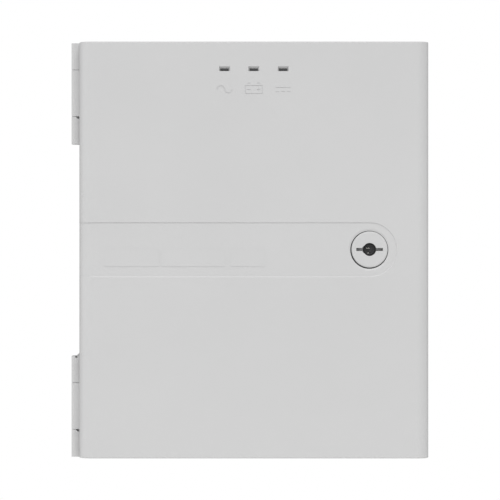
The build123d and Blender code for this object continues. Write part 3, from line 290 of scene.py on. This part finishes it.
def board_material():
    """Green solder mask over copper: straight tracks in two directions, and poured areas between."""
    green, track, pour = (0.012, 0.095, 0.035), (0.024, 0.15, 0.055), (0.018, 0.12, 0.044)
    made = Shader("board_solder_mask", green, 0.28, coat_weight=0.4, coat_roughness=0.12)
    upright = made.board_tracks("X", "Z", 0.0026, 0.021)
    level = made.board_tracks("Z", "X", 0.0031, 0.027)
    patches = made.node("TexVoronoi", Vector=made.flat(), Scale=34.0)
    patches.distance = "CHEBYCHEV"
    patch_value = made.node("SeparateColor", Color=patches.outputs["Color"]).outputs[0]
    poured = made.math("GREATER_THAN", patch_value, 0.6)
    on_track = made.math("MAXIMUM", upright, level)
    made.colour(made.mix(on_track, made.mix(poured, green, pour), track))
    made.bump(made.math("MAXIMUM", on_track, poured), 0.00004, 0.5)
    made.rough(made.noise(0.01, 4.0), 0.22, 0.36)
    return made.material


def glass_material(name, colour, roughness):
    """Clear moulded sheet or tube with faint handling marks."""
    made = Shader(name, colour, roughness, transmission_weight=1.0, ior=1.5)
    made.rough(made.noise(0.004, 5.0), roughness, roughness + 0.08)
    made.bump(made.noise(0.003, 2.0), 0.000004, 0.3)
    return made.material


def lens_material():
    """Smoked indicator window."""
    smoke = (0.022, 0.022, 0.024)
    made = Shader("smoked_acrylic", smoke, 0.12, specular_ior_level=0.5, coat_weight=0.3)
    made.rough(made.noise(0.0015, 3.0), 0.08, 0.2)
    made.bump(made.noise(0.0009, 2.0), 0.000008, 0.4)
    return made.material


def led_material():
    """Diffused tinted epoxy, unlit."""
    tint = (0.35, 0.6, 0.3)
    made = Shader("led_epoxy", tint, 0.25, transmission_weight=0.4, subsurface_weight=0.2)
    made.rough(made.noise(0.001, 3.0), 0.2, 0.35)
    made.bump(made.noise(0.0006, 2.0), 0.000006, 0.4)
    return made.material


def winding_material():
    """Yellow tape wound round a coil: the edge of each turn shows."""
    made = Shader("coil_tape", (0.75, 0.50, 0.06), 0.35, coat_weight=0.3)
    wrap = made.node("TexWave", Vector=made.place, Scale=90.0, Distortion=1.2)
    wrap.bands_direction = "Y"
    band = made.levels(wrap.outputs["Fac"], 0.2, 0.8)
    grime = made.levels(made.noise(0.009, 5.0), 0.45, 0.75, 0.0, 0.35)
    tape = made.mix(band, (0.66, 0.40, 0.045), (0.80, 0.56, 0.10))
    made.colour(made.mix(grime, tape, (0.45, 0.27, 0.04)))
    made.bump(band, 0.00006, 0.6)
    made.rough(made.noise(0.003, 3.0), 0.28, 0.42)
    return made.material


def wire_material():
    """Enamelled copper."""
    copper = (0.62, 0.22, 0.07)
    made = Shader("enamelled_copper", copper, 0.22, 0.85, coat_weight=0.6, coat_roughness=0.1)
    cloud = made.levels(made.noise(0.002, 4.0), 0.3, 0.7)
    made.colour(made.mix(cloud, (0.55, 0.18, 0.05), (0.75, 0.30, 0.10)))
    made.rough(made.noise(0.001, 3.0), 0.16, 0.3)
    made.bump(made.noise(0.0008, 2.0), 0.000008, 0.4)
    return made.material


def sleeve_material():
    """Shrunk sleeve: dark, glossy, with faint shrink ripples."""
    made = Shader("capacitor_sleeve", (0.012, 0.014, 0.03), 0.24, coat_weight=0.3)
    made.rough(made.noise(0.004, 4.0), 0.18, 0.34)
    made.bump(made.noise(0.0025, 2.0, stretch=(1, 0.3, 1)), 0.00004, 0.4)
    return made.material


ZINC = (0.66, 0.66, 0.64)
SLOTS = {
    "housing": housing_material,
    "steel": lambda: metal("zinc_steel", ZINC, 0.28),
    "grommet_rubber": lambda: plastic("grommet_rubber", (0.025, 0.025, 0.026), 0.75, 0.0008, 0.00003),
    "circuit_board": board_material,
    "terminal_plastic": lambda: plastic("terminal_nylon", (0.02, 0.16, 0.07), 0.42),
    "fuse_glass": lambda: glass_material("fuse_glass", (0.95, 0.97, 0.96), 0.03),
    "nickel": lambda: metal("nickel_plate", (0.70, 0.68, 0.63), 0.2),
    "ferrite_green": lambda: plastic("core_coating", (0.03, 0.16, 0.06), 0.4, 0.0012, 0.00003),
    "copper_wire": wire_material,
    "ferrite": lambda: plastic("ferrite", (0.035, 0.035, 0.038), 0.5, 0.0005, 0.00002),
    "coil_tape": winding_material,
    "capacitor_sleeve": sleeve_material,
    "heat_sink_alloy": lambda: metal("extruded_alloy", (0.60, 0.61, 0.62), 0.34, brushed=(8, 0.3, 8)),
    "chip_epoxy": lambda: plastic("chip_epoxy", (0.02, 0.02, 0.021), 0.55, 0.0004, 0.00001),
    "trimmer_blue": lambda: plastic("trimmer_blue", (0.02, 0.09, 0.35), 0.3),
    "trimmer_white": lambda: plastic("white_nylon", (0.72, 0.72, 0.68), 0.4),
    "header_plastic": lambda: plastic("natural_nylon", (0.70, 0.67, 0.56), 0.4),
    "led_lens": led_material,
    "clear_shield": lambda: glass_material("clear_polycarbonate", (0.93, 0.95, 0.96), 0.08),
    "dark_nylon": lambda: plastic("dark_nylon", (0.022, 0.022, 0.024), 0.45),
    "battery_black": lambda: plastic("battery_abs", (0.018, 0.018, 0.02), 0.48, 0.0009, 0.00003),
    "zinc_plate": lambda: metal("zinc_plate", ZINC, 0.36, brushed=(0.2, 1, 6), tarnish=0.9),
    "spade_sleeve": lambda: plastic("spade_sleeve", (0.62, 0.60, 0.52), 0.3, subsurface_weight=0.2),
    "lead_black": lambda: plastic("lead_black", (0.015, 0.015, 0.016), 0.42),
    "lead_red": lambda: plastic("lead_red", (0.42, 0.012, 0.01), 0.4),
    "smoked_lens": lens_material,
    "lock_dark": lambda: plastic("lock_dark", (0.03, 0.03, 0.032), 0.5, 0.0012, 0.00006),
}


def paint_nodes():
    """Give every CAD node the procedural material of its slot."""
    made = {}
    for entry in frame["record"]["subparts"]:
        slot = entry["material_slot"]
        if slot not in made:
            made[slot] = SLOTS[slot]()
        mesh = NODES[entry["node"]].data
        mesh.materials.clear()
        mesh.materials.append(made[slot])
    return made


# ---------------------------------------------------------------- mesh helpers
SHARP_ANGLE = math.radians(35)
BOARD_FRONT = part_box("main_board")[0].y
CORNERS = ((-1, -1), (1, -1), (1, 1), (-1, 1))


def on_board(x, z, height=0.0):
    """A point in front of the main board's face, from millimetres."""
    return Vector((x * MM, BOARD_FRONT - height * MM, z * MM))


def islands(node):
    """(lowest corner, highest corner) of each separate solid in a CAD node."""
    form = bmesh.new()
    form.from_mesh(NODES[node].data)
    bmesh.ops.remove_doubles(form, verts=form.verts, dist=0.000001)
    waiting, found = set(form.verts), []
    while waiting:
        group, frontier = [], [waiting.pop()]
        while frontier:
            vert = frontier.pop()
            group.append(vert.co)
            beside = {edge.other_vert(vert) for edge in vert.link_edges} & waiting
            waiting -= beside
            frontier.extend(beside)
        low, high = (Vector(map(pick, zip(*group))) for pick in (min, max))
        found.append((low, high))
    form.free()
    return sorted(found, key=lambda pair: tuple(pair[0]))


def rounded_box(form, low, high, radius):
    """Add a box between two corners with every edge rounded."""
    low, high = Vector(low), Vector(high)
    verts = bmesh.ops.create_cube(form, size=1.0)["verts"]
    for vert in verts:
        vert.co = (low + high) / 2 + Vector(a * b for a, b in zip(vert.co, high - low))
    edges = list({edge for vert in verts for edge in vert.link_edges})
    bmesh.ops.bevel(form, geom=edges, offset=radius, segments=2, profile=0.5, affect="EDGES")


def upright_box(form, x, z, width, height, rise, radius, low=0.0):
    """Add a rounded box that stands on the board; sizes are in millimetres."""
    front = on_board(x - width / 2, z - height / 2, low + rise)
    back = on_board(x + width / 2, z + height / 2, low)
    rounded_box(form, front, back, radius * MM)


def ring_of(form, middle, across, up, radius, steps):
    """Add a circle of points round a middle, in the plane of two directions."""
    angles = [2 * math.pi * step / steps for step in range(steps)]
    spokes = [across * math.cos(angle) + up * math.sin(angle) for angle in angles]
    return [form.verts.new(middle + spoke * radius) for spoke in spokes]


def join_rings(form, first, second):
    """Skin the space between two rings; a ring may be a single point."""
    steps = max(len(first), len(second))
    for step in range(steps):
        corners = [
            first[step % len(first)],
            first[(step + 1) % len(first)],
            second[(step + 1) % len(second)],
            second[step % len(second)],
        ]
        form.faces.new(list(dict.fromkeys(corners)))


def turned(form, centre, direction, profile, steps=20):
    """Add a shape turned about a line; profile holds (along it, radius) in millimetres."""
    direction = Vector(direction).normalized()
    across = direction.orthogonal().normalized()
    up = direction.cross(across)
    rings = []
    for along, radius in profile:
        middle = centre + direction * along * MM
        if radius > 0:
            rings.append(ring_of(form, middle, across, up, radius * MM, steps))
        else:
            rings.append([form.verts.new(middle)])
    for first, second in zip(rings, rings[1:]):
        join_rings(form, first, second)


def wire(form, points, radius, sides=8):
    """Add a round wire through points, closed at both ends; the radius is in millimetres."""
    rings, across = [], None
    for index, point in enumerate(points):
        before = points[max(index - 1, 0)]
        after = points[min(index + 1, len(points) - 1)]
        direction = (after - before).normalized()
        if across is None:
            across = direction.orthogonal()
        across = (across - direction * across.dot(direction)).normalized()
        rings.append(ring_of(form, point, across, direction.cross(across), radius * MM, sides))
    for first, second in zip(rings, rings[1:]):
        join_rings(form, first, second)
    for end in (rings[0], rings[-1]):
        form.faces.new(end)


def bend(start, start_pull, end_pull, end, steps=12):
    """Points along a smooth bend."""
    return geometry.interpolate_bezier(start, start_pull, end_pull, end, steps)


def flat_frame(form, x, z, width, height, line=0.2):
    """Add a thin printed rectangle round a place on the board; sizes are in millimetres."""
    outer = [(x + a * width / 2, z + b * height / 2) for a, b in CORNERS]
    inner = [(x + a * (width / 2 - line), z + b * (height / 2 - line)) for a, b in CORNERS]
    outside = [form.verts.new(on_board(*corner, PRINT_RISE)) for corner in outer]
    inside = [form.verts.new(on_board(*corner, PRINT_RISE)) for corner in inner]
    join_rings(form, outside, inside)


def piece(name, form, material, body="cabinet"):
    """Turn a finished form into a piece that rides on a body."""
    bmesh.ops.recalc_face_normals(form, faces=form.faces)
    mesh = bpy.data.meshes.new(name)
    form.to_mesh(mesh)
    form.free()
    mesh.materials.append(material)
    mesh.shade_smooth()
    mesh.set_sharp_from_angle(angle=SHARP_ANGLE)
    made = bpy.data.objects.new(name, mesh)
    bpy.context.scene.collection.objects.link(made)
    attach(made, body)


# ---------------------------------------------------------------- small parts on the boards
# Places and sizes on the boards are in millimetres.
AXIAL_RISE = 1.5  # from the board to the middle of a resistor or a diode
FOOT_RISE = -0.5  # legs end inside the board
RESISTOR_BODY = (
    (-3.2, 0),
    (-3.2, 0.7),
    (-3.0, 1.05),
    (-2.6, 1.18),
    (-2.2, 1.12),
    (-1.8, 0.95),
    (1.8, 0.95),
    (2.2, 1.12),
    (2.6, 1.18),
    (3.0, 1.05),
    (3.2, 0.7),
    (3.2, 0),
)
BAND_COLOURS = {
    "brown": (0.10, 0.035, 0.015),
    "black": (0.012, 0.012, 0.012),
    "red": (0.35, 0.02, 0.015),
    "gold": (0.45, 0.28, 0.06),
}
RESISTOR_BANDS = ((-1.3, "brown"), (-0.5, "black"), (0.3, "red"), (1.4, "gold"))
RESISTOR_ROW = [(68 + 5 * index, 112) for index in range(5)]
RESISTOR_PLACES = RESISTOR_ROW + [(88, 84), (88, 96), (-10, 62), (-5, 62)]
DIODE_PLACES = [(-14, 112), (-9, 112), (70, 96), (76, 96), (82, 96)]


def lead_pair(form, x, z, half, reach, radius):
    """Add the two bent legs of a part that lies along Z above the board."""
    for side in (-1, 1):
        shoulder = on_board(x, z + side * half, AXIAL_RISE)
        corner = on_board(x, z + side * reach, AXIAL_RISE)
        foot = on_board(x, z + side * reach, FOOT_RISE)
        wire(form, [shoulder] + bend(shoulder.lerp(corner, 0.5), corner, corner, foot, 8), radius)


def make_resistors():
    """Axial resistors with colour bands on bent legs."""
    bodies, legs = bmesh.new(), bmesh.new()
    bands = {colour: bmesh.new() for _, colour in RESISTOR_BANDS}
    for x, z in RESISTOR_PLACES:
        middle = on_board(x, z, AXIAL_RISE)
        turned(bodies, middle, (0, 0, 1), RESISTOR_BODY)
        lead_pair(legs, x, z, 3.1, 5.2, 0.3)
        for place, colour in RESISTOR_BANDS:
            start, end = place - 0.22, place + 0.22
            ring = ((start, 0.9), (start, 0.97), (end, 0.97), (end, 0.9))
            turned(bands[colour], middle, (0, 0, 1), ring)
    lacquer = plastic("resistor_lacquer", (0.55, 0.40, 0.22), 0.3)
    piece("resistor_bodies", bodies, lacquer)
    piece("resistor_legs", legs, MATERIALS["nickel"])
    for colour, form in bands.items():
        lacquer = plastic("band_" + colour, BAND_COLOURS[colour], 0.3)
        piece("resistor_bands_" + colour, form, lacquer)


def make_diodes():
    """Black axial diodes, each with a pale band at one end."""
    bodies, legs, marks = bmesh.new(), bmesh.new(), bmesh.new()
    outline = ((-2.6, 0), (-2.6, 1.15), (-2.4, 1.35), (2.4, 1.35), (2.6, 1.15), (2.6, 0))
    for x, z in DIODE_PLACES:
        middle = on_board(x, z, AXIAL_RISE)
        turned(bodies, middle, (0, 0, 1), outline)
        turned(marks, middle, (0, 0, 1), ((1.3, 1.3), (1.3, 1.37), (2.0, 1.37), (2.0, 1.3)))
        lead_pair(legs, x, z, 2.5, 5.0, 0.38)
    piece("diode_bodies", bodies, MATERIALS["chip_epoxy"])
    piece("diode_marks", marks, MATERIALS["trimmer_white"])
    piece("diode_legs", legs, MATERIALS["nickel"])


FILM_CAPACITORS = (  # x, z, width, height, rise
    (-50, 62, 8, 18, 13),
    (-44, 111, 6, 12, 9),
    (-34, 112, 5, 10, 8),
    (72, 78, 5, 11, 9),
)
DISC_PLACES = ((-48, 80), (-48, 88), (8, 112), (84, 70))
DISC_OUTLINE = (
    (-1.5, 0),
    (-1.5, 1.6),
    (-1.3, 3.2),
    (-0.8, 4.1),
    (0, 4.4),
    (0.8, 4.1),
    (1.3, 3.2),
    (1.5, 1.6),
    (1.5, 0),
)
SURFACE_ROWS = (  # first x, z, count, pitch
    (-44, 34, 7, 4.2),
    (-44, 40, 7, 4.2),
    (4, 36, 12, 4.4),
    (6, 60, 5, 4.4),
    (50, 58, 6, 4.2),
    (-40, 60, 5, 4.2),
)


def make_box_capacitors():
    """Film capacitors: glossy boxes with a stepped filling line, standing on the board."""
    boxes = bmesh.new()
    for x, z, width, height, rise in FILM_CAPACITORS:
        upright_box(boxes, x, z, width, height, rise, 0.5, low=0.6)
        for end in (-1, 1):
            upright_box(boxes, x, z + end * (height / 2 - 0.9), width - 0.6, 1.2, 0.8, 0.2)
    lacquer = plastic("film_box", (0.72, 0.50, 0.07), 0.28, coat_weight=0.3)
    piece("film_capacitors", boxes, lacquer)


def make_disc_capacitors():
    """Ceramic discs on edge, dipped in lacquer that runs down their legs."""
    discs, legs = bmesh.new(), bmesh.new()
    for x, z in DISC_PLACES:
        turned(discs, on_board(x, z, 6.2), (0, 0, 1), DISC_OUTLINE, 28)
        for side in (-1, 1):
            top, foot = on_board(x + side * 2.2, z, 3.2), on_board(x + side * 2.5, z, FOOT_RISE)
            wire(legs, [top, top.lerp(foot, 0.5), foot], 0.3)
            turned(discs, top, (0, 1, 0), ((-1.0, 0.8), (0.4, 0.6), (1.4, 0.42), (1.5, 0)), 12)
    lacquer = plastic("disc_lacquer", (0.04, 0.16, 0.34), 0.3)
    piece("disc_capacitors", discs, lacquer)
    piece("disc_legs", legs, MATERIALS["nickel"])


def make_surface_parts():
    """Rows of surface-mounted chips with tinned ends, and the fillets that hold them."""
    bodies, ends = bmesh.new(), bmesh.new()
    for start, z, count, pitch in SURFACE_ROWS:
        for index in range(count):
            x = start + index * pitch
            upright_box(bodies, x, z, 1.25, 1.3, 0.55, 0.08, low=0.02)
            for side in (-1, 1):
                upright_box(ends, x, z + side * 0.85, 1.3, 0.45, 0.6, 0.1)
                upright_box(ends, x, z + side * 1.2, 1.4, 0.5, 0.16, 0.07)
    piece("surface_parts", bodies, plastic("thick_film", (0.03, 0.028, 0.026), 0.4))
    piece("surface_part_ends", ends, metal("tinned_ends", ZINC, 0.3, relief=0.00001))


LEG_PITCH = 1.27
LEG_WIDTH = 0.42


def make_chip_legs():
    """Bent legs down both long sides of each chip, and a dimple that marks its first leg."""
    legs, marks = bmesh.new(), bmesh.new()
    for low, high in islands("control_chips"):
        low, high = low / MM, high / MM
        middle_z = (low.z + high.z) / 2
        half = (high.z - low.z) / 2
        count = int((high.x - low.x - 1) / LEG_PITCH) + 1
        first = (low.x + high.x) / 2 - (count - 1) * LEG_PITCH / 2
        for index in range(count):
            x = first + index * LEG_PITCH
            for side in (-1, 1):
                shoulder_z = middle_z + side * (half + 0.3)
                shin_z = middle_z + side * (half + 0.62)
                foot_z = middle_z + side * (half + 0.95)
                upright_box(legs, x, shoulder_z, LEG_WIDTH, 0.7, 0.2, 0.05, low=0.85)
                upright_box(legs, x, shin_z, LEG_WIDTH, 0.2, 0.95, 0.05, low=0.1)
                upright_box(legs, x, foot_z, LEG_WIDTH, 0.8, 0.2, 0.05)
        dimple = on_board(low.x + 1.1, low.z + 1.1, 1.8)
        turned(marks, dimple, (0, -1, 0), ((0.0, 0.45), (0.03, 0.45), (0.03, 0)), 16)
    piece("chip_legs", legs, metal("tinned_legs", (0.62, 0.62, 0.6), 0.28))
    piece("chip_marks", marks, plastic("chip_mark", (0.30, 0.30, 0.29), 0.5))


def make_can_trim():
    """Bare scored tops and polarity stripes on the electrolytic capacitors."""
    tops, stripes = bmesh.new(), bmesh.new()
    for node in ("bulk_capacitor", "output_capacitors"):
        for low, high in islands(node):
            radius = (high.x - low.x) / 2 / MM
            middle = Vector(((low.x + high.x) / 2, low.y, (low.z + high.z) / 2))
            rise = (high.y - low.y) / MM
            rim, step = radius * 0.79, radius * 0.74
            disc = ((-0.28, 0), (-0.28, rim), (-0.12, rim), (-0.05, step), (-0.05, 0))
            turned(tops, middle, (0, -1, 0), disc, 32)
            for turn in range(3):
                angle = math.radians(90 + 120 * turn)
                tip = middle + Vector((math.cos(angle), 0, math.sin(angle))) * radius * 0.62 * MM
                wire(tops, [middle, tip], radius * 0.018 + 0.03, 6)
            add_stripe(stripes, middle, radius, rise)
    piece("can_tops", tops, metal("can_top", (0.62, 0.63, 0.64), 0.3))
    piece("can_stripes", stripes, plastic("can_stripe", (0.42, 0.43, 0.46), 0.3))


def add_stripe(form, top, radius, rise):
    """Add a thin curved stripe down the side of a can."""
    columns = []
    for step in range(9):
        angle = math.radians(200 + 6 * step)
        outward = Vector((math.cos(angle), 0, math.sin(angle))) * (radius + 0.03) * MM
        down = [Vector((0, rise * share * MM, 0)) for share in (0.04, 0.84)]
        columns.append([form.verts.new(top + outward + drop) for drop in down])
    for first, second in zip(columns, columns[1:]):
        form.faces.new((first[0], second[0], second[1], first[1]))


def make_coil_ends():
    """Enamelled ends of the choke's and the transformer's windings, down to the board."""
    form = bmesh.new()
    low, high = (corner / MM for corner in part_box("choke_windings"))
    choke_x, choke_z = (low.x + high.x) / 2, (low.z + high.z) / 2
    for side_x in (-1, 1):
        for side_z in (-1, 1):
            start = on_board(choke_x + side_x * 9.0, choke_z + side_z * 9.3, 1.2)
            foot = on_board(choke_x + side_x * 11.5, choke_z + side_z * 11.8, FOOT_RISE)
            corner = Vector((foot.x, start.y, foot.z))
            wire(form, bend(start, start.lerp(corner, 0.7), corner, foot), 0.5)
    low, high = (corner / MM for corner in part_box("transformer_coil"))
    for index in range(4):
        x = low.x + 4 + index * (high.x - low.x - 8) / 3
        for end, side in ((low.z, -1), (high.z, 1)):
            start = on_board(x, end + side * -0.8, 10.5)
            foot = on_board(x, end + side * 2.2, FOOT_RISE)
            high_pull = on_board(x, end + side * 2.6, 9.0)
            low_pull = on_board(x, end + side * 2.4, 4.0)
            wire(form, bend(start, high_pull, low_pull, foot), 0.35)
    piece("winding_ends", form, MATERIALS["copper_wire"])


PRINT_RISE = 0.03
PAD_SEED = 7
PAD_COUNT = 70
PAD_SPAN = (-56, 90)
PAD_ROWS = (30, 44.5, 56, 66, 76, 106, 119)
PAD_PROFILE = ((0, 0.62), (0.05, 0.6), (0.06, 0.3), (0.01, 0.28))
OUTLINED_NODES = (
    "mains_terminal_block",
    "output_terminal_block",
    "transformer_core",
    "heat_sink",
    "trimmer_body",
)


def make_board_print():
    """White outlines round the parts, and tinned test pads."""
    lines, pads = bmesh.new(), bmesh.new()
    for node in OUTLINED_NODES:
        low, high = (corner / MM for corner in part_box(node))
        middle, size = (low + high) / 2, high - low
        flat_frame(lines, middle.x, middle.z, size.x + 2, size.z + 2, line=0.25)
    for low, high in islands("control_chips"):
        middle, size = (low + high) / MM / 2, (high - low) / MM
        flat_frame(lines, middle.x, middle.z, size.x + 1, size.z + 4)
    for x, z in RESISTOR_PLACES + DIODE_PLACES:
        flat_frame(lines, x, z, 3.6, 8.2)
    chance = random.Random(PAD_SEED)
    for _ in range(PAD_COUNT):
        x = chance.uniform(*PAD_SPAN)
        z = chance.choice(PAD_ROWS) + chance.uniform(-0.8, 0.8)
        turned(pads, on_board(x, z), (0, -1, 0), PAD_PROFILE, 14)
    piece("board_outlines", lines, plastic("print_white", (0.74, 0.75, 0.72), 0.5))
    piece("test_pads", pads, metal("tinned_pad", (0.68, 0.67, 0.63), 0.25))


def make_riser_parts():
    """Series parts behind the indicators, and the indicators' legs."""
    bodies, legs = bmesh.new(), bmesh.new()
    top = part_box("riser_board")[1].z
    for low, high in islands("status_leds"):
        x = (low.x + high.x) / 2
        for side in (-1, 1):
            back = Vector((x + side * 1.27 * MM, high.y - 0.2 * MM, top + 2.2 * MM))
            foot = Vector((back.x, high.y + 2.4 * MM, top - 0.4 * MM))
            corner = Vector((back.x, foot.y, back.z))
            wire(legs, bend(back, corner, corner, foot), 0.25)
        near = Vector((x - 0.8 * MM, high.y + 6 * MM, top))
        rounded_box(bodies, near, near + Vector((1.6, 3.2, 0.6)) * MM, 0.1 * MM)
    piece("riser_series_parts", bodies, MATERIALS["chip_epoxy"])
    piece("indicator_legs", legs, MATERIALS["nickel"])


# ---------------------------------------------------------------- battery, door and lock
def label_material(name, paper, bar, low, high):
    """Coated paper with plain bars and blank fields, and faint fibres."""
    made = Shader(name, paper, 0.42, coat_weight=0.2)
    height = made.levels(made.axis("Z"), low, high)
    top_bar = made.between(height, 0.80, 0.93)
    ruled = made.between(height, 0.10, 0.70)
    fields = made.math("MULTIPLY", ruled, made.stripes("Z", 0.0062, 0.08))
    tone = made.mix(made.levels(made.noise(0.002, 4.0), 0.3, 0.7), paper, shade(paper, 0.94))
    lined = made.mix(fields, tone, shade(paper, 0.72))
    made.colour(made.mix(top_bar, lined, bar))
    made.rough(made.noise(0.004, 4.0), 0.36, 0.5)
    made.bump(made.noise(0.0007, 3.0), 0.00001, 0.5)
    return made.material


def make_battery_trim():
    """A blank label on the battery's front, seals round its terminals and ribs in its lid."""
    low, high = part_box("battery_case")
    label = bmesh.new()
    bottom, top = low.z + 8 * MM, high.z - 6 * MM
    front = Vector((low.x + 14 * MM, low.y - 0.15 * MM, bottom))
    back = Vector((high.x - 14 * MM, low.y + 0.05 * MM, top))
    rounded_box(label, front, back, 0.04 * MM)
    white, blue = (0.58, 0.60, 0.60), (0.05, 0.14, 0.20)
    paper = label_material("battery_label_paper", white, blue, bottom, top)
    piece("battery_label", label, paper)

    lid_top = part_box("battery_lid")[1].z
    for (low, high), slot in zip(islands("battery_terminals"), ("lead_red", "lead_black")):
        seal = bmesh.new()
        middle = (low + high) / 2
        half = Vector((4.7, 5.7, 0)) * MM
        floor = Vector((middle.x, middle.y, lid_top - 3.0 * MM))
        rounded_box(seal, floor - half, floor + half + Vector((0, 0, 0.8 * MM)), 0.3 * MM)
        piece("terminal_seal_" + slot[5:], seal, MATERIALS[slot])

    ribs = bmesh.new()
    low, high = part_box("battery_lid")
    for index in range(6):
        x = low.x + (44 + index * 16) * MM
        near = Vector((x, low.y + 14 * MM, lid_top - 1.05 * MM))
        rounded_box(ribs, near, near + Vector((1.2, 37, 0.7)) * MM, 0.25 * MM)
    piece("lid_ribs", ribs, MATERIALS["battery_black"])


DOOR_SKIN = 2.8  # millimetres, as the next two
GUIDE_X = (-52, 32)
GUIDE_Z = (-66, 30)


def make_door_label():
    """A blank wiring guide stuck inside the door."""
    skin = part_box("door")[0].y + DOOR_SKIN * MM
    form = bmesh.new()
    (left, right), (bottom, top) = GUIDE_X, GUIDE_Z
    near = Vector((left, skin / MM - 0.02, bottom)) * MM
    far = Vector((right, skin / MM + 0.13, top)) * MM
    rounded_box(form, near, far, 0.04 * MM)
    white, grey = (0.72, 0.72, 0.69), (0.30, 0.31, 0.32)
    paper = label_material("wiring_guide_paper", white, grey, bottom * MM, top * MM)
    piece("wiring_guide", form, paper, body="door")


PINS = ((-1.9, 0.8, 1.8), (-0.5, 0.8, 1.8), (-0.8, -2.6, 1.2))  # millimetres across, up, out
CORE_RING = ((0, 3.7), (1.0, 3.7), (1.2, 3.5), (1.0, 3.2), (0, 3.2))


def make_lock_pins():
    """Bright pins and the ring of the lock's core, down inside its hole."""
    low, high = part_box("lock_plug")
    middle = (low + high) / 2
    pins, ring = bmesh.new(), bmesh.new()
    for across, up, rise in PINS:
        base = Vector((middle.x + across * MM, low.y, middle.z + up * MM))
        tip = ((rise - 0.5, 0.5), (rise - 0.25, 0.43), (rise - 0.07, 0.25), (rise, 0))
        turned(pins, base, (0, -1, 0), ((-0.5, 0.5), *tip), 16)
    base = Vector((middle.x, low.y + 0.3 * MM, middle.z))
    turned(ring, base, (0, -1, 0), CORE_RING, 40)
    piece("lock_pins", pins, MATERIALS["nickel"], body="lock")
    piece("lock_core_ring", ring, MATERIALS["lock_dark"], body="lock")


def make_detail():
    """All the small pieces that the CAD model leaves out."""
    make_resistors()
    make_diodes()
    make_box_capacitors()
    make_disc_capacitors()
    make_surface_parts()
    make_chip_legs()
    make_can_trim()
    make_coil_ends()
    make_board_print()
    make_riser_parts()
    make_battery_trim()
    make_door_label()
    make_lock_pins()


make_camera()
make_world()
for light_name, light in LIGHTS.items():
    make_sun(light_name, *light)
make_floor()
MATERIALS = paint_nodes()
make_detail()
